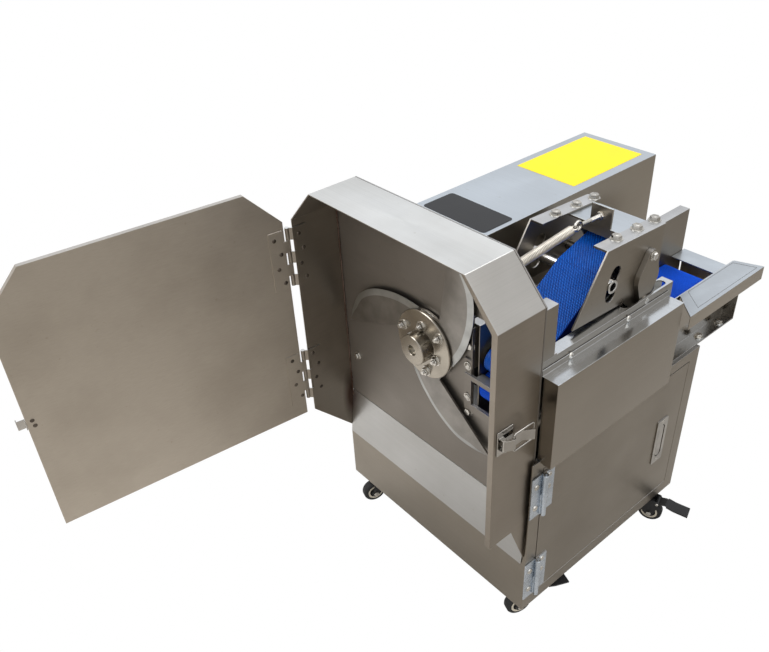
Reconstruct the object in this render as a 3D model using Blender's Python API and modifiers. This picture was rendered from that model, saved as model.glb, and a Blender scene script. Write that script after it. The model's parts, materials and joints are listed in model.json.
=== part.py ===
"""Vegetable cutting machine on castors, modelled for Blender 4.5.

Axes while modelling: X to the right along the knife hood, Y back along the infeed belt, Z up from the
cabinet's underside. The hood's left front edge is at X = 0, Y = 0. Metres. At the end the whole machine is
moved so that the middle of its footprint is at the origin and the wheels stand on Z = 0.
"""
import math

import bmesh
import bpy
from mathutils import Matrix, Vector

# Clearances and facets
GAP = 0.0003
RUN = 0.0005
OVER = 0.006
WELD = 0.000001
FINE = 28
ROUND = 20
SMALL = 12
ARC_STEP = 12.0

# Sheet
SHEET = 0.002
THIN = 0.0015
HEAVY = 0.003

# Knife hood
HOOD_W = 0.420
HOOD_D = 0.084
HOOD_BOTTOM = 0.1995
HOOD_TOP = 0.626
CHAMFER_RUN = 0.055
CHAMFER_DROP = 0.0585
HOOD_LIP = 0.010
GUSSET_TIP_Z = 0.118
GUSSET_RIGHT_Y = 0.045

# Chamber back plate, infeed mouth and spring anchor
BACK_T = 0.0025
MOUTH_X0 = 0.300
MOUTH_X1 = 0.400
MOUTH_Z0 = 0.345
MOUTH_Z1 = 0.500
ANCHOR_H = 0.018
ANCHOR_REACH = 0.019
ANCHOR_HOLE = 0.004

# Slotted shear frame
FRAME_T = 0.003
FRAME_STRIP = 0.014
FRAME_TOP = 0.424
SHEAR_DEPTH = 0.013
SHEAR_T = 0.008
FRAME_SLOT_W = 0.007
FRAME_SLOT_L = 0.016
FRAME_SLOT_Z = (0.412, 0.356)
GUIDE_Z1 = 0.480
GUIDE_DEPTH = 0.017

# Cabinet
CAB_W = 0.426
CAB_FRONT = 0.075
CAB_BACK = 0.483
CAB_KICK_Z = 0.104
CAB_SLOPE_Z = 0.1985
CAB_TOP = 0.315
DOOR_Y0 = 0.098
DOOR_Y1 = 0.458
DOOR_Z0 = 0.0235
DOOR_Z1 = 0.296
DOOR_FIT = 0.0012
DOOR_RIM = 0.010
APRON_BOTTOM = 0.106
BELT_HOLE_X0 = 0.178
BELT_HOLE_X1 = 0.248
BELT_HOLE_Y0 = 0.146
BELT_HOLE_Y1 = 0.178

# Cabinet hinges
CAB_PIN_OUT = 0.006
CAB_BARREL_R = 0.0042
CAB_LEAF_W = 0.024
CAB_LEAF_T = 0.002
CAB_HINGE_H = 0.080
CAB_HINGE_Z = (0.209, 0.028)
CAB_PIN_R = 0.002

# Flush lock
LOCK_Y = 0.408
LOCK_Z = 0.155
LOCK_W = 0.030
LOCK_H = 0.096
LOCK_T = 0.0015
LOCK_R = 0.004
LOCK_DEPTH = 0.017
POCKET_W = 0.016
POCKET_H = 0.070
HANDLE_T = 0.006
HANDLE_FIT = 0.0015
HANDLE_PIN_R = 0.0015

# Castors
CASTOR_NAMES = ("front_right", "front_left", "rear_right", "rear_left")
CASTOR_TURNS = (-110.0, -107.0, 20.0, 148.0)
PEDAL_SIDES = (-1, 0, 1, 0)
CASTOR_H = 0.060
CASTOR_INSET_LEFT = 0.040
CASTOR_INSET_RIGHT = 0.0265
CASTOR_INSET_FRONT_LEFT = 0.036
CASTOR_INSET_FRONT_RIGHT = 0.050
CASTOR_INSET_BACK_LEFT = 0.041
CASTOR_INSET_BACK_RIGHT = 0.053
PLATE_W = 0.048
PLATE_T = 0.0025
KING_R = 0.011
KING_H = 0.003
FORK_CROWN_R = 0.015
FORK_ROUND = 0.004
FORK_T = 0.0025
FORK_GAP = 0.0012
TRAIL = 0.022
WHEEL_R = 0.022
WHEEL_W = 0.017
AXLE_R = 0.003
AXLE_BOSS_R = 0.008
PEDAL_PIVOT = 0.033
PEDAL_PIVOT_AHEAD = 0.013
PEDAL_PIVOT_DROP = 0.0125
PEDAL_PIN_R = 0.0015
PEDAL_BOSS_R = 0.004
PEDAL_REACH = 0.088
PEDAL_W = 0.024
PEDAL_T = 0.003
PEDAL_DROP = 0.006

# Knife rotor
KNIFE_X = 0.211
KNIFE_Z = 0.4125
BLADE_CLEAR = 0.0004
BOSS_L = 0.022
FLANGE_T = 0.0045
FLANGE_R = 0.056
BOSS_R = 0.0243
SPIGOT_R = 0.0115
BLADE_T = 0.003
BLADE_TIP_R = 0.1927
BLADE_BEVEL = 0.010
BLADE_EDGE_T = 0.0006
BLADE_ANGLES = (194.7, 74.7, 314.7)
BACKING_T = 0.004
BACKING_R = 0.055
SHAFT_NOSE_R = 0.0078
SHAFT_R = 0.010
SHAFT_TAIL_R = 0.0075
EDGE = 0.0008
SHAFT_NOSE_BACK = 0.007
SHAFT_SHOULDER_R = 0.014
SHAFT_SHOULDER_L = 0.0045
HOUSING_L = 0.063
HOUSING_R = 0.028
HOUSING_FLANGE_R = 0.042
HOUSING_FLANGE_T = 0.006
PULLEY_W = 0.018
PULLEY_R = 0.022
MOTOR_PULLEY_R = 0.018
GROOVE_DEPTH = 0.006
GROOVE_W = 0.012
GROOVE_FLOOR_W = 0.009
VBELT_W = 0.008
VBELT_T = 0.006
PULLEY_GAP = 0.003
MOTOR_X = 0.213
MOTOR_Z = 0.140
MOTOR_R = 0.050
MOTOR_L = 0.180
MOTOR_FOOT_W = 0.110
MOTOR_FOOT_L = 0.100
MOTOR_FOOT_T = 0.008
MOTOR_SHAFT_R = 0.007
MOTOR_SHAFT_L = 0.022

# Chamber door, its hinges and the strike
PIN_X = -0.003
PIN_Y = -0.007
DOOR_EDGE = 0.007
DOOR_FACE = 0.003
DOOR_SKIN = 0.0015
RIM_DEPTH = 0.008
DOOR_OPEN = 95.57
LEAF_W = 0.023
LEAF_T = 0.0015
BARREL_R = 0.0035
BARREL_PIN_R = 0.0016
HINGE_H = 0.100
HINGE_Z = (0.455, 0.228)
KNUCKLES = 5
STRIKE_T = 0.0015
STRIKE_H = 0.015
STRIKE_BASE = 0.0075
STRIKE_REACH = 0.0117
STRIKE_LIP = 0.005

# Toggle latch
LATCH_Z = 0.395
LATCH_PLATE_H = 0.040
LATCH_Y0 = 0.005
LATCH_Y1 = 0.034
LATCH_PIVOT_Y = 0.012
LATCH_PIVOT_OUT = 0.0075
LATCH_CHEEK_T = 0.0012
LEVER_H = 0.017
LEVER_T = 0.006
LEVER_L = 0.045
LEVER_TIP_OUT = 0.012
BAIL_PIVOT_Y = 0.024
BAIL_PIVOT_OUT = 0.0125
BAIL_R = 0.0012
BAIL_H = 0.029
BAIL_HOOK = 0.0023
LATCH_PIN_R = 0.0015

# Infeed conveyor
BELT_T = 0.002
LOWER_R = 0.022
NOSE_Y = 0.111
TAIL_Y = 0.527
ROLLER_Z = 0.376
BELT_X0 = 0.311
BELT_X1 = 0.3955
ROLLER_SHAFT_R = 0.006
WEB_R_X = 0.398
WEB_L_X = 0.307
SIDE_END = 0.590
RAIL_END = 0.376
RAIL_Z = 0.480
RAIL_X = 0.417
RAIL_LIP = 0.025
WEB_LOW_Z = 0.420
FOOT_X = 0.421
LUG_R = 0.022
CUTOUT_Y0 = 0.266
CUTOUT_Y1 = 0.366
CUTOUT_X = 0.4135
CUTOUT_R = 0.006
LEFT_TOP = 0.485
LEFT_FLANGE_X = 0.2905
END_PLATE_Z = 0.407
END_PLATE_Y0 = 0.5535
END_PLATE_Y1 = 0.592
END_PLATE_DROP = 0.050
WING_Z0 = 0.395
WING_Z1 = 0.4205
WING_X = 0.452
WING_RISE = 0.0105
WING_LIP = 0.022
WING_INNER_Y = 0.435
WING_OUTER_Y = 0.379
WING_END_CUT = 0.003

# Side guard box
COVER_Y0 = 0.089
COVER_Y1 = 0.366
COVER_X = 0.445
COVER_Z1 = 0.460
COVER_Z0 = 0.313
COVER_LIP = 0.009
COVER_RETURN = 0.014

# Throat guard
THROAT_X0 = 0.3965
THROAT_Y1 = 0.112
THROAT_Z1 = 0.560
THROAT_FOOT = 0.012

# Control box
BOX_X0 = 0.080
BOX_X1 = 0.230
BOX_Y0 = 0.180
BOX_Y1 = 0.589
BOX_TOP = 0.558
BUTTON_Z = 0.455
STOP_Y = 0.220
START_Y = 0.262
KNOB_Y = 0.304
BUTTON_STEM_R = 0.005
BUTTON_STEM_L = 0.018
STOP_R = 0.015
STOP_T = 0.008
STOP_TRAVEL = 0.005
START_R = 0.011
START_T = 0.006
START_TRAVEL = 0.003
KNOB_R = 0.014
KNOB_T = 0.016
COLLAR_R = 0.0135
COLLAR_T = 0.003

# Feed gear motor
GEAR_X0 = 0.150
GEAR_X1 = 0.215
GEAR_Y0 = 0.490
GEAR_Y1 = 0.565
GEAR_Z0 = 0.337
GEAR_Z1 = 0.425
FEED_MOTOR_R = 0.032
FEED_MOTOR_L = 0.130

# Press unit, about its shaft
PIVOT_Y = 0.316
PIVOT_Z = 0.508
PRESS_TILT = 2.5
PRESS_R = 0.046
PRESS_SHAFT_R = 0.008
PRESS_X0 = 0.3155
PRESS_X1 = 0.3915
PRESS_NOSE_Y = -0.2032
PRESS_NOSE_Z = -0.0924
PRESS_NOSE_R = 0.017
PRESS_NOSE_SHAFT_R = 0.005
SIDE_R_X = 0.401
SIDE_L_X = 0.2695
SIDE_BACK = 0.034
SIDE_TOP = 0.0713
SIDE_FRONT_TOP = 0.0958
SIDE_FRONT = 0.152
SIDE_LOW = 0.0275
SIDE_LOBE_R = 0.048
SIDE_FLANGE = 0.021
SLOT_R = 0.0765
SLOT_W = 0.021
SLOT_FROM = 156.4
SLOT_TO = 181.6
TUBE_ANGLE = 171.2
TUBE_R = 0.010
TUBE_BORE_R = 0.0065
TUBE_PROUD = 0.002
CROSS_Y0 = -0.036
CROSS_Y1 = 0.026
CROSS_T = 0.003
CROSS_LIP = 0.014
TAB_W = 0.035
TAB_X = 0.345
TAB_Z = 0.098
ARM_T = 0.003
ARM_GAP = 0.001
ARM_HUB_R = 0.020
ARM_NOSE_R = 0.012
ARM_NECK = 0.012
BEARING_T = 0.008
BEARING_R = 0.024
BEARING_EAR = 0.035
BEARING_EAR_R = 0.0095
BEARING_ANGLE = 87.5
EYE_Z = 0.084
EYE_Y = -0.0865
EYE_RING_R = 0.0065
EYE_WIRE_R = 0.0022
EYE_SHANK_R = 0.003
EYE_BACK = -0.026
EYE_NUT_R = 0.0065
EYE_NUT_T = 0.005

# Tension spring
SPRING_R = 0.0055
SPRING_WIRE = 0.00125
SPRING_TURNS = 12
SPRING_STEPS = 8
SPRING_START = 0.013
SPRING_END = 0.014
SPRING_Z = 0.585

# Shares of the blade's tip radius for its convex edge, and of the band that is ground on it
BLADE_EDGE_SHARES = ((0.165, -0.349), (0.328, -0.372), (0.546, -0.361), (0.754, -0.290), (0.905, -0.150))
BLADE_HEEL_SHARE = 0.300
BLADE_BACK_SHARES = ((0.300, -0.082),)
BLADE_TAPER_SHARE = 0.80
BLADE_ROOT_ANGLE = 30.0

# Shares that shape small outlines
ANCHOR_HOLE_SHARE = 2 / 3
PEDAL_RISE_SHARE = 0.25
PEDAL_FALL_SHARE = 0.55
PEDAL_NARROW_SHARE = 0.30
LEVER_BELLY_SHARE = 0.60
LEVER_BEND_SHARE = 0.70
LEVER_UNDER_SHARE = 0.75
LOCK_END_SHARE = 0.99
BOSS_SHARE = 0.75

# Places that follow from the sizes above
HOOD_MID_X = HOOD_W / 2
BACK_Y0 = HOOD_D + GAP
BACK_Y1 = BACK_Y0 + BACK_T
CAB_UPPER_Y = BACK_Y1 + GAP
WALL_X = HOOD_W + GAP
TOP_Z = CAB_TOP + GAP
WEB_R_OUT = WEB_R_X + SHEET
WEB_L_OUT = WEB_L_X + SHEET
SIDE_START = BACK_Y1 + 2 * GAP
LOWER_BELT_R = LOWER_R + GAP
BELT_TOP_Z = ROLLER_Z + LOWER_BELT_R + BELT_T
SHEAR_FRONT = BACK_Y0 - GAP - 2 * FRAME_T
BLADE_Y1 = SHEAR_FRONT - BLADE_CLEAR
BLADE_Y0 = BLADE_Y1 - BLADE_T
FLANGE_FRONT = BLADE_Y0 - GAP - FLANGE_T
BOSS_FRONT = FLANGE_FRONT - BOSS_L
BACKING_Y0 = BLADE_Y1 + GAP
HOUSING_Y0 = BACK_Y1 + GAP
HOUSING_Y1 = HOUSING_Y0 + HOUSING_L
PULLEY_Y0 = HOUSING_Y1 + PULLEY_GAP
PULLEY_Y1 = PULLEY_Y0 + PULLEY_W
MOTOR_Y0 = PULLEY_Y1 + PULLEY_GAP
DOOR_W = HOOD_W
TUBE_Y = SLOT_R * math.cos(math.radians(TUBE_ANGLE))
TUBE_Z = SLOT_R * math.sin(math.radians(TUBE_ANGLE))
AXLE_DROP = CASTOR_H - WHEEL_R
ANCHOR_X = TAB_X + SPRING_WIRE + GAP
ANCHOR_Y = BACK_Y1 + ANCHOR_REACH * ANCHOR_HOLE_SHARE
CASTOR_PLACES = (
    (CAB_W - CASTOR_INSET_RIGHT, CAB_FRONT + CASTOR_INSET_FRONT_RIGHT),
    (CASTOR_INSET_LEFT, CAB_FRONT + CASTOR_INSET_FRONT_LEFT),
    (CAB_W - CASTOR_INSET_RIGHT, CAB_BACK - CASTOR_INSET_BACK_RIGHT),
    (CASTOR_INSET_LEFT, CAB_BACK - CASTOR_INSET_BACK_LEFT),
)

PLANES = {
    "XY": Matrix(((1, 0, 0), (0, 1, 0), (0, 0, 1))),
    "XZ": Matrix(((1, 0, 0), (0, 0, -1), (0, 1, 0))),
    "YZ": Matrix(((0, 0, 1), (1, 0, 0), (0, 1, 0))),
}
NORMAL_SIGN = {"XY": 1, "XZ": -1, "YZ": 1}


def clear_scene():
    for old in list(bpy.data.objects):
        bpy.data.objects.remove(old, do_unlink=True)
    for old in list(bpy.data.collections):
        bpy.data.collections.remove(old)


clear_scene()
PARTS = bpy.data.collections.new("vegetable_cutting_machine")
TOOLS = bpy.data.collections.new("cutters")
bpy.context.scene.collection.children.link(PARTS)
bpy.context.scene.collection.children.link(TOOLS)


def material(name, colour, roughness, metallic):
    made = bpy.data.materials.new(name)
    made.use_nodes = True
    shader = made.node_tree.nodes["Principled BSDF"]
    shader.inputs["Base Color"].default_value = (*colour, 1.0)
    shader.inputs["Roughness"].default_value = roughness
    shader.inputs["Metallic"].default_value = metallic
    return made


STEEL = material("brushed stainless steel", (0.56, 0.54, 0.51), 0.34, 1.0)
TOP_STEEL = material("pale stainless sheet", (0.66, 0.68, 0.70), 0.28, 1.0)
POLISHED = material("polished steel", (0.70, 0.69, 0.67), 0.16, 1.0)
BLADE_STEEL = material("ground blade steel", (0.62, 0.61, 0.59), 0.30, 1.0)
ZINC = material("zinc plated steel", (0.72, 0.76, 0.80), 0.25, 1.0)
SPRING_STEEL = material("spring steel", (0.74, 0.73, 0.70), 0.22, 1.0)
BELT_BLUE = material("blue belt", (0.01, 0.09, 0.62), 0.42, 0.0)
BLACK_RUBBER = material("black rubber", (0.02, 0.02, 0.02), 0.70, 0.0)
CAST_GREY = material("grey painted casting", (0.22, 0.24, 0.26), 0.55, 0.3)
BLACK_STEEL = material("black steel", (0.03, 0.03, 0.03), 0.45, 0.6)
RED_PLASTIC = material("red plastic", (0.62, 0.02, 0.02), 0.35, 0.0)
GREEN_PLASTIC = material("green plastic", (0.02, 0.36, 0.08), 0.35, 0.0)
BLACK_PLASTIC = material("black plastic", (0.02, 0.02, 0.02), 0.40, 0.0)


def body(name, origin=(0, 0, 0), turn=(0, 0, 0), parent=None):
    """An empty on a joint's axis, turned by degrees about X, Y and Z."""
    empty = bpy.data.objects.new(name, None)
    empty.location = origin
    empty.rotation_euler = [math.radians(a) for a in turn]
    empty.parent = parent
    PARTS.objects.link(empty)
    return empty


def weld(mesh):
    shape = bmesh.new()
    shape.from_mesh(mesh)
    bmesh.ops.remove_doubles(shape, verts=shape.verts, dist=WELD)
    bmesh.ops.recalc_face_normals(shape, faces=shape.faces)
    shape.to_mesh(mesh)
    shape.free()
    return mesh


def mesh_of(source):
    """The evaluated mesh of a curve or a mesh object, welded; the source is removed."""
    PARTS.objects.link(source)
    bpy.context.view_layer.update()
    graph = bpy.context.evaluated_depsgraph_get()
    mesh = bpy.data.meshes.new_from_object(source.evaluated_get(graph))
    bpy.data.objects.remove(source, do_unlink=True)
    return weld(mesh)


def plate(plane, low, high, outline, holes=()):
    """A flat outline between two levels of the plane's normal axis."""
    curve = bpy.data.curves.new("outline", "CURVE")
    curve.dimensions = "2D"
    curve.fill_mode = "BOTH"
    curve.extrude = (high - low) / 2
    for points in (outline, *holes):
        spline = curve.splines.new("POLY")
        spline.points.add(len(points) - 1)
        for point, (u, v) in zip(spline.points, points):
            point.co = (u, v, 0, 1)
        spline.use_cyclic_u = True
    mesh = mesh_of(bpy.data.objects.new("outline", curve))
    level = NORMAL_SIGN[plane] * (low + high) / 2
    mesh.transform(PLANES[plane].to_4x4() @ Matrix.Translation((0, 0, level)))
    return mesh


def block(low, high):
    shape = bmesh.new()
    bmesh.ops.create_cube(shape, size=1)
    low = Vector(low)
    high = Vector(high)
    for vert in shape.verts:
        vert.co = (low + high) / 2 + Vector([c * s for c, s in zip(vert.co, high - low)])
    mesh = bpy.data.meshes.new("block")
    shape.to_mesh(mesh)
    shape.free()
    return mesh


def smooth(mesh):
    mesh.shade_smooth()
    mesh.set_sharp_from_angle(angle=math.radians(40))
    return mesh


def rod(axis, start, end, u, v, radius, sides=ROUND):
    """A round bar along an axis; u and v are the other two coordinates in order."""
    shape = bmesh.new()
    bmesh.ops.create_cone(shape, cap_ends=True, segments=sides, radius1=radius, radius2=radius,
                          depth=end - start)
    mesh = bpy.data.meshes.new("rod")
    shape.to_mesh(mesh)
    shape.free()
    mesh.transform(Matrix.Translation((0, 0, (start + end) / 2)))
    turn_to_axis(mesh, axis, u, v)
    return smooth(mesh)


def turn_to_axis(mesh, axis, u, v):
    """Lays a shape made along Z onto an axis and moves it to the other two coordinates."""
    if axis == "X":
        mesh.transform(Matrix(((0, 0, 1, 0), (1, 0, 0, u), (0, 1, 0, v), (0, 0, 0, 1))))
    elif axis == "Y":
        mesh.transform(Matrix(((0, 1, 0, u), (0, 0, 1, 0), (1, 0, 0, v), (0, 0, 0, 1))))
    else:
        mesh.transform(Matrix.Translation((u, v, 0)))


def turned(axis, profile, u, v, steps=FINE, closed=False):
    """A Screw of a profile of (level, radius) pairs that runs down its outer side."""
    mesh = bpy.data.meshes.new("profile")
    count = len(profile)
    edges = [(i, i + 1) for i in range(count - 1)]
    if closed:
        edges.append((count - 1, 0))
    mesh.from_pydata([(radius, 0, level) for level, radius in profile], edges, [])
    source = bpy.data.objects.new("profile", mesh)
    screw = source.modifiers.new("turn", "SCREW")
    screw.steps = steps
    screw.render_steps = steps
    screw.use_merge_vertices = True
    screw.merge_threshold = WELD
    made = mesh_of(source)
    turn_to_axis(made, axis, u, v)
    return smooth(made)


def arc(cu, cv, radius, start, end, step=ARC_STEP):
    count = max(1, math.ceil(abs(end - start) / step))
    angles = [math.radians(start + (end - start) * i / count) for i in range(count + 1)]
    return [(cu + radius * math.cos(a), cv + radius * math.sin(a)) for a in angles]


def circle(cu, cv, radius, sides=ROUND):
    return arc(cu, cv, radius, 0, 360, 360 / sides)[:-1]


def rectangle(u0, v0, u1, v1):
    return [(u0, v0), (u1, v0), (u1, v1), (u0, v1)]


def rounded(u0, v0, u1, v1, radius):
    return (arc(u1 - radius, v0 + radius, radius, -90, 0, 30)
            + arc(u1 - radius, v1 - radius, radius, 0, 90, 30)
            + arc(u0 + radius, v1 - radius, radius, 90, 180, 30)
            + arc(u0 + radius, v0 + radius, radius, 180, 270, 30))


def loop(circles, step=ARC_STEP):
    """The outline of a band stretched round circles (u, v, radius), given anticlockwise."""
    count = len(circles)
    normals = []
    for i in range(count):
        u0, v0, r0 = circles[i]
        u1, v1, r1 = circles[(i + 1) % count]
        span = math.hypot(u1 - u0, v1 - v0)
        heading = math.degrees(math.atan2(v1 - v0, u1 - u0))
        normals.append(heading - math.degrees(math.acos((r0 - r1) / span)))
    points = []
    for i in range(count):
        u, v, radius = circles[i]
        start = normals[i - 1]
        end = normals[i]
        while end < start:
            end += 360
        while end - start > 360:
            end -= 360
        points += arc(u, v, radius, start, end, step)
    return points


def wider(circles, extra):
    return [(u, v, radius + extra) for u, v, radius in circles]


def strip(points, thickness):
    """The outline of a folded sheet whose middle line runs through the points."""
    left = []
    right = []
    for i, here in enumerate(points):
        here = Vector(here)
        before = (here - Vector(points[i - 1])).normalized() if i else None
        after = (Vector(points[i + 1]) - here).normalized() if i + 1 < len(points) else None
        one = before or after
        two = after or before
        side = Vector((-one.y - two.y, one.x + two.x)).normalized()
        reach = thickness / 2 / side.dot(Vector((-one.y, one.x)))
        left.append(tuple(here + side * reach))
        right.append(tuple(here - side * reach))
    return left + right[::-1]


def curve_through(points, steps=4):
    """Points of a Catmull-Rom curve through the given ones."""
    ends = [points[0], *points, points[-1]]
    made = []
    for i in range(1, len(ends) - 2):
        p = [Vector(q) for q in ends[i - 1:i + 3]]
        for s in range(steps):
            t = s / steps
            made.append(tuple((p[1] * 2 + (p[2] - p[0]) * t
                               + (p[0] * 2 - p[1] * 5 + p[2] * 4 - p[3]) * t ** 2
                               + (p[1] * 3 - p[0] - p[2] * 3 + p[3]) * t ** 3) / 2))
    made.append(tuple(points[-1]))
    return made


def wire(points, radius, resolution=2):
    """A bent wire: a POLY curve with a round bevel and filled caps."""
    curve = bpy.data.curves.new("wire", "CURVE")
    curve.dimensions = "3D"
    curve.bevel_depth = radius
    curve.bevel_resolution = resolution
    curve.use_fill_caps = True
    spline = curve.splines.new("POLY")
    spline.points.add(len(points) - 1)
    for point, place in zip(spline.points, points):
        point.co = (*place, 1)
    return smooth(mesh_of(bpy.data.objects.new("wire", curve)))


def loft(sections):
    """Joins closed sections of equally many points, and closes the first and the last."""
    shape = bmesh.new()
    rings = [[shape.verts.new(p) for p in section] for section in sections]
    for low, high in zip(rings, rings[1:]):
        for i in range(len(low)):
            j = (i + 1) % len(low)
            shape.faces.new((low[i], low[j], high[j], high[i]))
    shape.faces.new(rings[0][::-1])
    shape.faces.new(rings[-1])
    bmesh.ops.recalc_face_normals(shape, faces=shape.faces)
    mesh = bpy.data.meshes.new("loft")
    shape.to_mesh(mesh)
    shape.free()
    return mesh


def piece(name, mesh, carrier, look, turn=(0, 0, 0)):
    made = bpy.data.objects.new(name, mesh)
    mesh.name = name
    if not mesh.materials:
        mesh.materials.append(look)
    made.parent = carrier
    made.rotation_euler = [math.radians(a) for a in turn]
    PARTS.objects.link(made)
    return made


def combine(target, mesh, operation):
    tool = bpy.data.objects.new(target.name + "_" + operation.lower(), mesh)
    tool.parent = target.parent
    tool.rotation_euler = target.rotation_euler
    tool.hide_render = True
    tool.display_type = "WIRE"
    TOOLS.objects.link(tool)
    boolean = target.modifiers.new(operation.lower(), "BOOLEAN")
    boolean.operation = operation
    boolean.solver = "EXACT"
    boolean.object = tool


def cut(target, *meshes):
    for mesh in meshes:
        combine(target, mesh, "DIFFERENCE")


def add(target, *meshes):
    for mesh in meshes:
        combine(target, mesh, "UNION")


def hood_outline(inset=0.0, bottom=HOOD_BOTTOM, left=0.0, right=HOOD_W):
    """The chamfered outline of hood, back plate and door, drawn in by an inset."""
    slope = math.hypot(CHAMFER_RUN, CHAMFER_DROP)
    run = CHAMFER_RUN - inset + inset * (slope - CHAMFER_RUN) / CHAMFER_DROP
    drop = CHAMFER_DROP - inset + inset * (slope - CHAMFER_DROP) / CHAMFER_RUN
    x0 = left + inset
    x1 = right - inset
    top = HOOD_TOP - inset
    return [(x0, bottom), (x1, bottom), (x1, top - drop), (x1 - run, top), (x0 + run, top), (x0, top - drop)]


def slope_y(z, clear=0.0):
    """Y of the cabinet's sloping front at a height, moved forward by a clearance."""
    share = (z - CAB_KICK_Z) / (CAB_SLOPE_Z - CAB_KICK_Z)
    return CAB_FRONT + (CAB_UPPER_Y - CAB_FRONT) * share - clear


# Bodies, each on its joint's axis
machine = body("machine")
rotor = body("knife_rotor", (KNIFE_X, 0, KNIFE_Z), parent=machine)
motor_rotor = body("motor_rotor", (MOTOR_X, 0, MOTOR_Z), parent=machine)
tail_roller = body("tail_roller", (0, TAIL_Y, ROLLER_Z), parent=machine)
nose_roller = body("nose_roller", (0, NOSE_Y, ROLLER_Z), parent=machine)
press = body("press_unit", (0, PIVOT_Y, PIVOT_Z), (-PRESS_TILT, 0, 0), machine)
press_drive = body("press_drive", (0, PIVOT_Y, PIVOT_Z), parent=machine)
press_nose = body("press_nose", (0, PRESS_NOSE_Y, PRESS_NOSE_Z), parent=press)
door = body("chamber_door_pin", (PIN_X, PIN_Y, 0), (0, 0, -DOOR_OPEN), machine)
lever = body("latch_lever_pin", (HOOD_W + LATCH_PIVOT_OUT, LATCH_PIVOT_Y, LATCH_Z), parent=machine)
bail_place = (BAIL_PIVOT_OUT - LATCH_PIVOT_OUT, BAIL_PIVOT_Y - LATCH_PIVOT_Y, 0)
bail = body("latch_bail_pin", bail_place, parent=lever)
cabinet_pin = body("cabinet_door_pin", (CAB_W + CAB_PIN_OUT, DOOR_Y0, 0), parent=machine)


def build_hood():
    hood = piece("knife_hood", plate("XZ", 0, HOOD_D, hood_outline(bottom=CAB_KICK_Z)), machine, STEEL)
    low = CAB_KICK_Z - OVER
    cut(hood, plate("XZ", SHEET, HOOD_D + OVER, hood_outline(SHEET, low)))
    mouth = hood_outline(SHEET, low)
    slant = math.hypot(CHAMFER_RUN, CHAMFER_DROP)
    lip_top = hood_outline(HOOD_LIP, low)
    chamfer_top_x = HOOD_W - CHAMFER_RUN - (HOOD_LIP - SHEET) * CHAMFER_DROP / slant
    opening = [mouth[0], lip_top[1], lip_top[2], (chamfer_top_x, HOOD_TOP - SHEET), mouth[4], mouth[5]]
    cut(hood, plate("XZ", -OVER, SHEET + OVER, opening))
    for x0, x1, y in ((-OVER, HOOD_MID_X, 0), (HOOD_MID_X, HOOD_W + OVER, GUSSET_RIGHT_Y)):
        tip = slope_y(GUSSET_TIP_Z)
        under = [(-OVER, HOOD_BOTTOM), (y, HOOD_BOTTOM), (tip, GUSSET_TIP_Z), (tip + OVER, low), (-OVER, low)]
        cut(hood, plate("YZ", x0, x1, under))
    behind = [(slope_y(low, GAP), low), (slope_y(CAB_SLOPE_Z, GAP), CAB_SLOPE_Z),
              (CAB_UPPER_Y + OVER, CAB_SLOPE_Z), (CAB_UPPER_Y + OVER, low)]
    cut(hood, plate("YZ", -OVER, HOOD_W + OVER, behind))


def build_back_plate():
    mouth = rectangle(MOUTH_X0, MOUTH_Z0, MOUTH_X1, MOUTH_Z1)
    shaft_hole = circle(KNIFE_X, KNIFE_Z, SHAFT_SHOULDER_R + SHEET)
    back = piece("chamber_back_plate", plate("XZ", BACK_Y0, BACK_Y1, hood_outline(), (mouth, shaft_hole)),
                 machine, STEEL)
    anchor = [(BACK_Y1 - BACK_T / 2, SPRING_Z - ANCHOR_H / 2), (ANCHOR_Y, SPRING_Z - ANCHOR_H / 2),
              (BACK_Y1 + ANCHOR_REACH, SPRING_Z), (ANCHOR_Y, SPRING_Z + ANCHOR_H / 2),
              (BACK_Y1 - BACK_T / 2, SPRING_Z + ANCHOR_H / 2)]
    hole = circle(ANCHOR_Y, SPRING_Z, ANCHOR_HOLE, SMALL)
    add(back, plate("YZ", ANCHOR_X, ANCHOR_X + BACK_T, anchor, (hole,)))


def build_shear_frame():
    front = BACK_Y0 - GAP - FRAME_T
    back = BACK_Y0 - GAP
    x0 = MOUTH_X0 - FRAME_STRIP
    x1 = MOUTH_X1 + FRAME_STRIP
    outline = [(x0, MOUTH_Z0 - FRAME_STRIP), (x1, MOUTH_Z0 - FRAME_STRIP), (x1, FRAME_TOP),
               (MOUTH_X1, FRAME_TOP), (MOUTH_X1, MOUTH_Z0), (MOUTH_X0, MOUTH_Z0), (MOUTH_X0, FRAME_TOP),
               (x0, FRAME_TOP)]
    slots = []
    for middle in (x0 + FRAME_STRIP / 2, x1 - FRAME_STRIP / 2):
        for z in FRAME_SLOT_Z:
            half = FRAME_SLOT_W / 2
            reach = FRAME_SLOT_L / 2 - half
            slots.append(arc(middle, z + reach, half, 0, 180, 45) + arc(middle, z - reach, half, 180, 360, 45))
    frame = piece("shear_frame", plate("XZ", front, back, outline, slots), machine, STEEL)
    top = BELT_TOP_Z
    bar_back = front + SHEAR_DEPTH
    edge = [(front, top - SHEAR_T), (bar_back - FRAME_T, top - SHEAR_T), (bar_back, top), (front, top)]
    add(frame, plate("YZ", WEB_L_OUT + GAP, WEB_R_X - GAP, edge))
    add(frame, block((x0 + FRAME_T, front - FRAME_T, top - SHEAR_T), (x1 - FRAME_T, back - FRAME_T / 2, top)))
    guide_x = MOUTH_X0 + GAP
    low = FRAME_TOP - FRAME_STRIP
    add(frame, block((guide_x, front, low), (guide_x + THIN, back + GUIDE_DEPTH, GUIDE_Z1)))
    add(frame, block((MOUTH_X0 - FRAME_T, front, low), (guide_x + THIN / 2, back, FRAME_TOP - FRAME_T)))


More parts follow.
